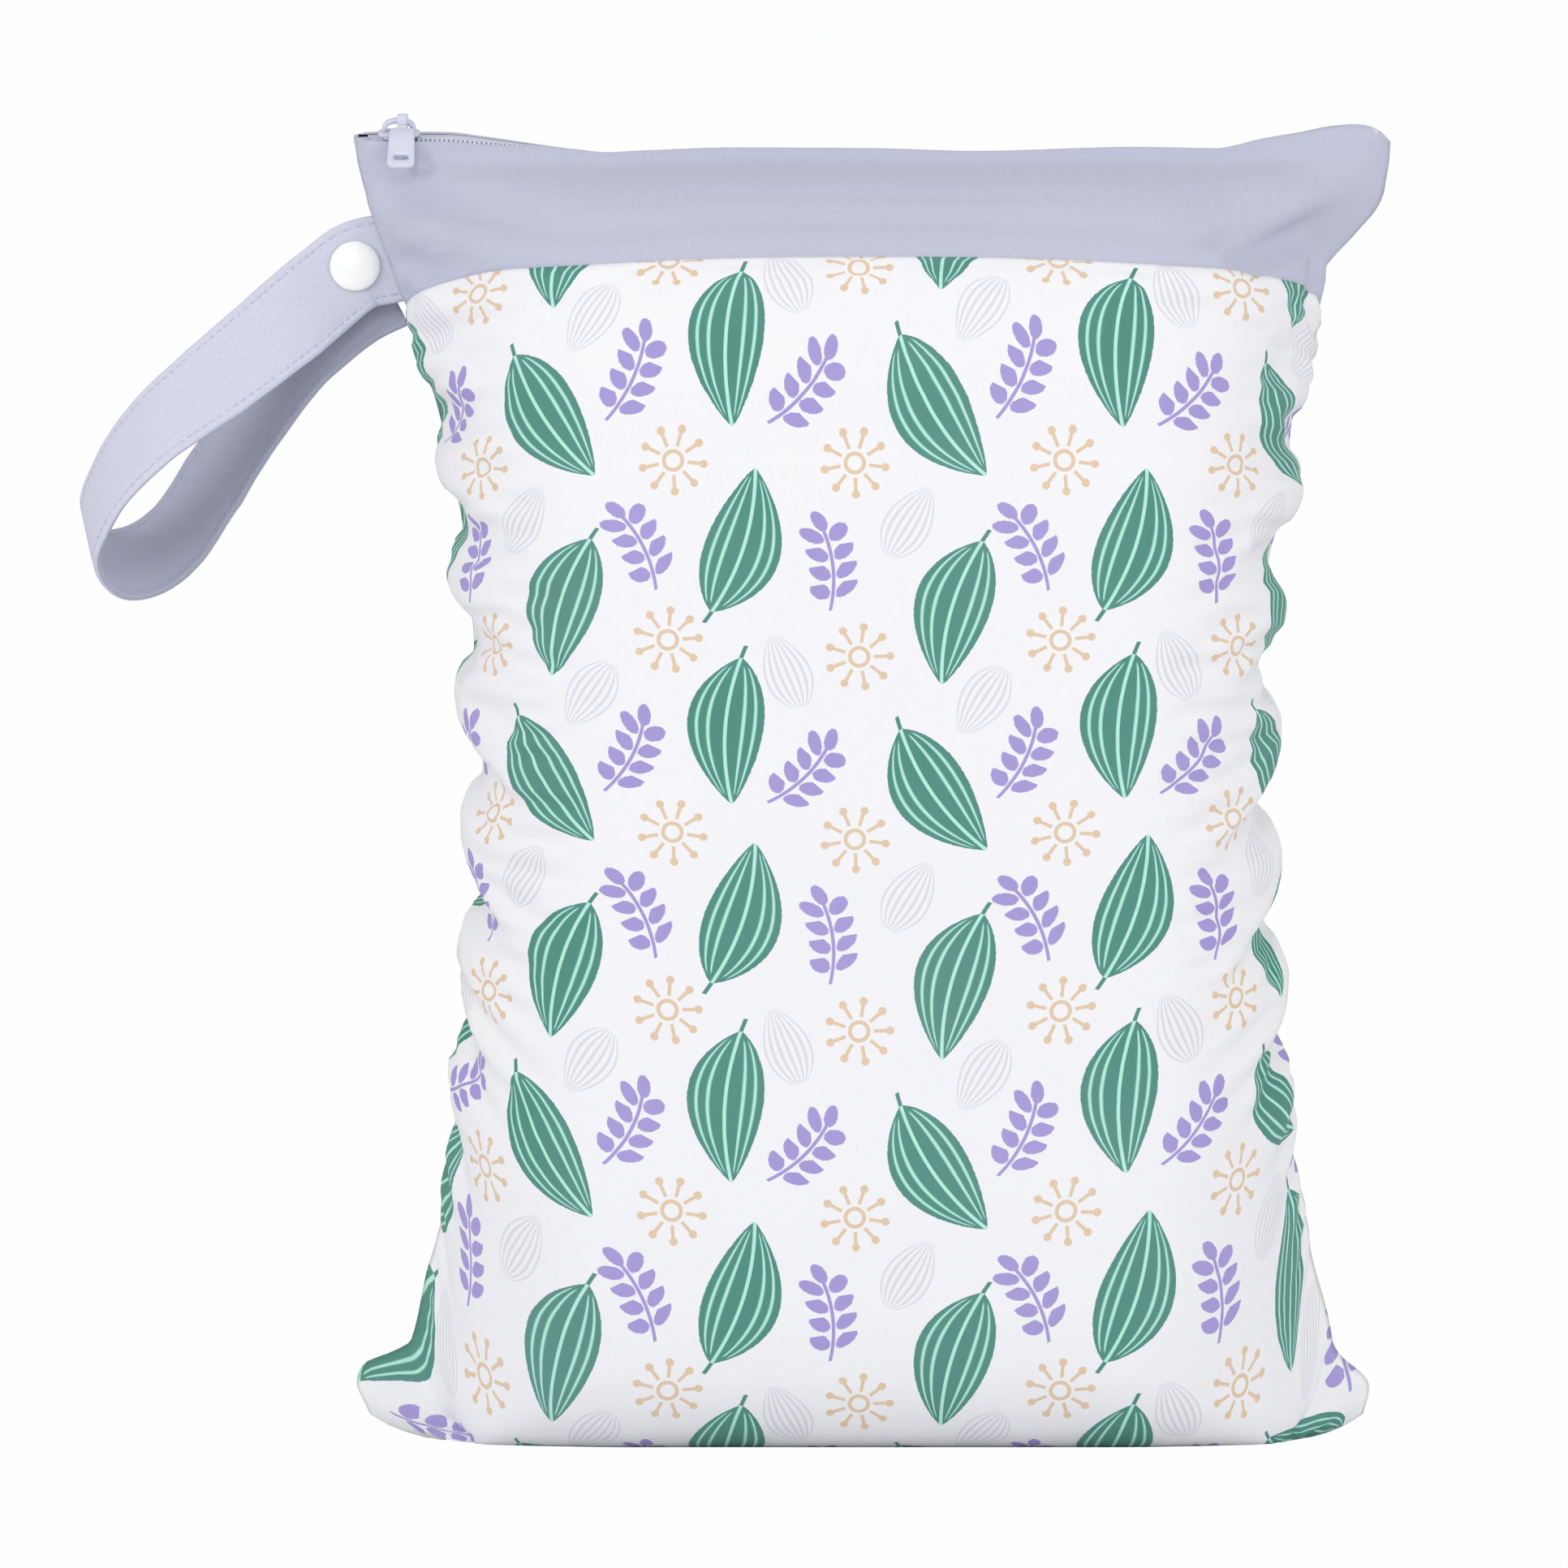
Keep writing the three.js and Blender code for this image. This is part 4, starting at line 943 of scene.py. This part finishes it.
def slider_mesh():
    parts = []

    def put(plate, x, y, z):
        points, faces = plate
        parts.append((points + np.array([x, y, z]), faces))

    put(soft_plate(slider_outline(SLIDER_WIDTH, SLIDER_LENGTH), 1.0, 0.3, 0.12), 0, 0, upper_low + 0.5)
    put(soft_plate(slider_outline(5.0, SLIDER_LENGTH), 1.0, 0.3), 0, 0, lower_top - 0.5)
    rim = rounded_outline(SLIDER_LENGTH * 0.72, 0.7, 0.3, 4)
    for face in (-1, 1):
        put(soft_plate(rim, 1.1, 0.2, top_share=0.76), 0, face * (SLIDER_WIDTH / 2 - 0.5), upper_low - 0.15)
    post = soft_plate(rounded_outline(2.2, 3.2, 0.8, 5), upper_low - lower_top + 1, 0.1)
    put(post, 1.7 - SLIDER_LENGTH / 2, 0, (upper_low + lower_top) / 2)
    reach = SLIDER_LENGTH * 0.32
    angle = np.radians(np.linspace(-90, 90, 33))
    path = np.column_stack([np.sin(angle) * (reach + 0.35), np.zeros(33),
                            upper_top - 0.4 + (BRIDGE_RISE + 0.5) * np.cos(angle) ** 0.5])
    parts.append(bent_bar(path, 1.15, 0.68))
    points, faces = join(parts)
    obj = add_mesh("slider_dressed", on_slider(points), faces, enamel)
    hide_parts("zipper_slider")
    return obj


def pull_angle():
    out, down = float(open_half(across_of(np.array(slider_x)))), bar_axis
    return math.atan2(out, down) + math.asin((PULL_THICK / 2 + 0.4) / math.hypot(out, down))


def ring_plate(outer, hole, thick):
    """A plate with a hole, both outlines with the same number of points, with soft edges."""
    h, e = thick / 2, 0.22
    centre = outer.mean(0)

    def moved(line, by, about):
        away = line - about
        size = np.linalg.norm(away, axis=1, keepdims=True)
        return about + away * (1 + by / size)

    middle_of_hole = hole.mean(0)
    outer_flat, hole_flat = moved(outer, -e, centre), moved(hole, e, middle_of_hole)
    rows = [(outer_flat, h), (outer, h - e), (outer, -h + e), (outer_flat, -h),
            (hole_flat, -h), (hole, -h + e), (hole, h - e), (hole_flat, h)]
    loops = np.stack([np.column_stack([line, np.full(len(line), z)]) for line, z in rows])
    rows_count, columns = loops.shape[:2]
    points = loops.reshape(-1, 3)
    faces = []
    for r in range(rows_count):
        n = (r + 1) % rows_count
        for c in range(columns):
            d = (c + 1) % columns
            faces.append((r * columns + c, n * columns + c, n * columns + d, r * columns + d))
    return points, faces


def pull_mesh():
    eye_hole = 0.7 * math.sqrt(2) + 0.2
    eye_outer = eye_hole + 0.9
    neck = eye_outer + 1.6
    angle = np.arange(40) * 2 * math.pi / 40
    circle = np.column_stack([np.cos(angle), np.sin(angle)])
    eye, eye_faces = ring_plate(circle * eye_outer, circle * eye_hole, 3.0)
    eye = np.column_stack([eye[:, 2], eye[:, 0], eye[:, 1]])
    tab_length = PULL_LENGTH - neck + 0.6
    outline = rounded_outline(PULL_WIDTH, tab_length, 2.0, 9)
    outline[:, 0] *= 0.9 + 0.1 * smooth(-outline[:, 1], -tab_length / 2, tab_length / 4)
    slot = rounded_outline(4.4, 2.0, 0.9, 9) + np.array([0, -tab_length * 0.26])
    tab, tab_faces = ring_plate(outline, slot, PULL_THICK)
    tab = np.column_stack([tab[:, 0], -tab[:, 2], tab[:, 1] - neck + 0.6 - tab_length / 2])
    bar_path = np.array([(0, 0, -eye_hole - 0.35), (0, 0, -neck * 0.75), (0, 0, -neck), (0, 0, -neck - 1.2)])
    loops = []
    for point, half_width in zip(bar_path, (1.3, 1.45, 1.7, 2.2)):
        outline = rounded_outline(2 * half_width, PULL_THICK * 0.96, 0.3, 3)
        loops.append(np.column_stack([outline, np.zeros(len(outline))]) + point)
    neck_points, neck_faces = swept(loops)
    points, faces = join([(eye, eye_faces), (tab, tab_faces), (neck_points, neck_faces)])
    swing = -pull_angle()
    c, s = math.cos(swing), math.sin(swing)
    x, y, z = points.T
    points = np.column_stack([x + PULL_SHIFT, y * c - z * s, y * s + z * c + bar_axis])
    obj = add_mesh("pull_dressed", on_slider(points), faces, enamel, body="pull")
    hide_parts("zipper_pull")
    return obj


slider_piece = slider_mesh()
pull_piece = pull_mesh()

# ---- the strap and its snap ----

def strap_curve():
    seam = cloth_point(-1.0, STRAP_LEVEL, -1.0)
    points = [np.array([seam[0] - out * STRAP_REACH, back * STRAP_SPREAD, seam[2] - down * STRAP_DROP])
              for out, down, back, _ in STRAP]
    points.insert(0, np.array([seam[0] + STRAP_TUCK, 0, seam[2] + 0.35 * STRAP_TUCK]))
    turns = np.array([0.0] + [row[3] for row in STRAP])
    points = np.array(points)
    padded = np.vstack([2 * points[0] - points[1], points, 2 * points[-1] - points[-2]])
    count = len(points) - 1

    def at(t):
        spot = np.clip(t, 0, 1) * count
        i = min(int(spot), count - 1)
        s = spot - i
        p0, p1, p2, p3 = padded[i:i + 4]
        d0, d1, d2 = (float(((b - a) ** 2).sum()) ** 0.25 for a, b in ((p0, p1), (p1, p2), (p2, p3)))
        m1 = ((p1 - p0) / d0 - (p2 - p0) / (d0 + d1) + (p2 - p1) / d1) * d1
        m2 = ((p2 - p1) / d1 - (p3 - p1) / (d1 + d2) + (p3 - p2) / d2) * d1
        return p1 + m1 * s + (-3 * p1 + 3 * p2 - 2 * m1 - m2) * s * s + (2 * p1 - 2 * p2 + m1 + m2) * s ** 3

    def frame_at(t):
        tangent = unit(at(min(t + 1e-4, 1)) - at(max(t - 1e-4, 0)))
        spot = t * (len(turns) - 1)
        low = min(int(spot), len(turns) - 2)
        lean = math.radians(lerp(turns[low], turns[low + 1], spot - low))
        width = unit(np.array([STRAP_FALL * math.cos(lean), -math.sin(lean), -math.cos(lean)]))
        width = unit(width - tangent * (width @ tangent))
        return at(t), tangent, width, np.cross(tangent, width)

    return frame_at


strap_at = strap_curve()


def strap_section():
    """Shares of half the width and half the thickness round the folded strap: it is pinched at the stitching
    and soft at the edge."""
    half = [(1.0, 0.0), (0.985, 0.5), (0.94, 0.86), (0.88, 0.9), (0.82, 0.72), (0.76, 0.88), (0.55, 0.96),
            (0.28, 1.0)]
    top = [(-a, b) for a, b in half] + [(0.0, 1.0)] + half[::-1]
    bottom = [(a, -b) for a, b in top[-2:0:-1]]
    return np.array(top + bottom)


def strap_mesh():
    section = strap_section()
    steps = 260
    loops, uv = [], []
    travelled, before = 0.0, None
    for i in range(steps + 1):
        t = i / steps
        middle, _, width, across = strap_at(t)
        travelled += 0 if before is None else float(np.linalg.norm(middle - before))
        before = middle
        soft = 1 + 0.006 * math.sin(travelled * 0.21) + 0.003 * math.sin(travelled * 0.47 + 1)
        half_w, half_t = STRAP_WIDTH / 2 * soft, STRAP_THICK / 2
        ripple = 0.05 * np.sin(travelled * 0.33 + section[:, 0] * 3)
        off = section[:, 1] * half_t + ripple * np.abs(section[:, 1])
        loops.append(middle + section[:, 0:1] * half_w * width + off[:, None] * across)
        # the inner face is shifted along the cut so that it takes the strap cloth's painted shade
        cut = section[:, 0] * half_w + (section[:, 1] < 0) * STRAP_SHADED_FACE_AT
        uv.append(np.column_stack([cut, np.full(len(section), travelled)]))
    points, faces = swept(loops)
    flat = np.vstack([np.vstack(uv), np.zeros((2, 2))])
    obj = add_mesh("strap_cloth", points, faces, cloth_strap, uv=flat)
    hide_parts("strap_loop")
    return obj


def stitch(start, end, lift, radius=0.17):
    """One stitch: a short soft thread that dips into the cloth at both ends."""
    rows = []
    way = unit(end - start)
    side = unit(np.cross(way, lift))
    angle = np.arange(6) * math.pi / 3
    for s in np.linspace(0, 1, 5):
        centre = start + (end - start) * s + lift * (0.16 * math.sin(math.pi * s) - 0.08)
        r = radius * (0.45 + 0.55 * math.sin(math.pi * (0.12 + 0.76 * s)))
        rows.append(centre + np.outer(np.cos(angle), side) * r + np.outer(np.sin(angle), lift) * r)
    return swept(rows)


def strap_stitches():
    parts, steps = [], 2000
    shares = np.linspace(0, 1, steps + 1)
    path = np.array([strap_at(i / steps)[0] for i in range(steps + 1)])
    run = np.concatenate([[0], np.cumsum(np.linalg.norm(np.diff(path, axis=0), axis=1))])
    for edge in (-0.82, 0.82):
        for face in (-1, 1):
            s = STRAP_TUCK + 0.8
            while s < run[-1] - 2.5:
                ends = []
                for along in (s, s + STITCH):
                    middle, _, width, across = strap_at(float(np.interp(along, run, shares)))
                    over = across * face * STRAP_THICK / 2 * 0.74
                    ends.append(middle + width * edge * STRAP_WIDTH / 2 + over)
                parts.append(stitch(ends[0], ends[1], across * face))
                s += STITCH_STEP
    points, faces = join(parts)
    obj = add_mesh("strap_stitching", points, faces, thread)
    return obj


strap_piece = strap_mesh()
stitches = strap_stitches()

seam_x = float(cloth_point(-1.0, STRAP_LEVEL, -1.0)[0])
STATIONS = 46
frames = [strap_at(i / STATIONS) for i in range(STATIONS + 1)]


def near_snap(some):
    return min(some, key=lambda f: abs(f[0][0] - (seam_x - SNAP_FROM_SEAM)))


front_leg, back_leg = near_snap(frames[:STATIONS // 2]), near_snap(frames[STATIONS // 2:])
front_out = -front_leg[3] * np.sign(front_leg[3][1])
back_out = back_leg[3] * np.sign(back_leg[3][1])
inward = -front_out
through = front_leg[0] + inward * ((back_leg[0] - front_leg[0]) @ back_leg[3]) / (inward @ back_leg[3])
face_off = STRAP_THICK / 2 + 0.02


def snap_cap(name, node, origin, way):
    r = SNAP_DIAMETER / 2
    rows = [(0, -0.35), (r * 0.9, -0.35), (r * 0.985, -0.1), (r, 0.25), (r * 0.985, 0.62), (r * 0.93, 1.0),
            (r * 0.8, 1.42), (r * 0.6, 1.78), (r * 0.4, 2.0), (r * 0.2, 2.14), (r * 0.07, 2.19), (0, 2.2)]
    points, faces = lathe(rows, 64)
    obj = add_mesh(name, frame_on(points, origin, way), faces, resin)
    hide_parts(node)
    return obj


snap_cap("snap_cap_front_dome", "snap_cap_front", front_leg[0] + front_out * (face_off + 0.3), front_out)
snap_cap("snap_cap_back_dome", "snap_cap_back", through + back_out * (face_off + 0.3), back_out)
core_from = front_leg[0] - front_out * (STRAP_THICK / 2)
core_to = through - back_out * (STRAP_THICK / 2)
core_way = core_to - core_from
core_length = float(np.linalg.norm(core_way))
r = SNAP_DIAMETER * 0.31
core_rows = [(0, 0.1), (r, 0.1), (r * 1.06, 0.3), (r * 1.06, core_length * 0.4),
             (r * 0.98, core_length * 0.5), (r * 0.72, core_length * 0.52), (r * 0.72, core_length * 0.8),
             (r * 0.98, core_length * 0.84), (r, core_length - 0.3), (r * 0.94, core_length - 0.1),
             (0, core_length - 0.1)]
points, faces = lathe(core_rows, 48)
core = add_mesh("snap_core_turned", frame_on(points, core_from, core_way), faces, resin)
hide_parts("snap_core")

# ---- the studio ----

def studio():
    """A white cut-out setting: the floor throws light up but the camera sees only white round the bag."""
    mesh = bpy.data.meshes.new("floor")
    count, reach = 96, 3
    angles = [2 * math.pi * i / count for i in range(count)]
    ring = [(reach * math.cos(a), reach * math.sin(a), -0.0002) for a in angles]
    mesh.from_pydata(ring, [], [tuple(range(count))])
    floor = bpy.data.objects.new("floor", mesh)
    bpy.context.scene.collection.objects.link(floor)
    material, _, shader = new_material("floor_white")
    set_in(shader, "Base Color", (0.86, 0.86, 0.88, 1))
    set_in(shader, "Roughness", 0.9)
    mesh.materials.append(material)
    floor.visible_camera = False

    world = bpy.data.worlds.new("studio")
    world.use_nodes = True
    tree = world.node_tree
    background = tree.nodes["Background"]
    place = tree.nodes.new("ShaderNodeTexCoord")
    _, back, up = parts_of(tree, place.outputs["Generated"])
    front, top = (-back).high(0.0), up.high(0.0)
    power = front * 0.24 + top * 0.42 + 0.345
    path = tree.nodes.new("ShaderNodeLightPath")
    seen = Maths(tree, path.outputs["Is Camera Ray"])
    power = seen * 0.992 + (1 - seen) * power
    tree.links.new(power.value, background.inputs[1])
    background.inputs[0].default_value = (0.998, 0.998, 1.0, 1)
    bpy.context.scene.world = world

    def lamp(name, place, target, size, watts):
        light = bpy.data.lights.new(name, "AREA")
        light.shape = "DISK"
        light.size = size
        light.energy = watts
        obj = bpy.data.objects.new(name, light)
        obj.location = place
        obj.rotation_euler = (Vector(target) - Vector(place)).to_track_quat("-Z", "Y").to_euler()
        bpy.context.scene.collection.objects.link(obj)

    lamp("left_box", (-2.5, -1.7, 1.1), (0, 0, 0.2), 1.3, 28)
    lamp("right_box", (2.5, -1.7, 0.9), (0, 0, 0.2), 1.3, 25.5)
    lamp("front_box", (-0.4, -3.1, 1.9), (0, 0, 0.2), 1.0, 12)


studio()

PHOTO_PIXELS, PIXEL_MM, CAMERA_AWAY, SENSOR = 1932, 0.234, 2.2, 36
camera_data = bpy.data.cameras.new("camera")
camera = bpy.data.objects.new("camera", camera_data)
camera.location = (-0.0248, -CAMERA_AWAY, 0.1888)
camera.rotation_euler = (math.radians(90), 0, 0)
camera_data.sensor_width = SENSOR
camera_data.lens = SENSOR * CAMERA_AWAY / (PHOTO_PIXELS * PIXEL_MM * MM)
camera_data.clip_end = 50
bpy.context.scene.collection.objects.link(camera)
bpy.context.scene.camera = camera
bpy.context.scene.view_settings.view_transform = "Standard"
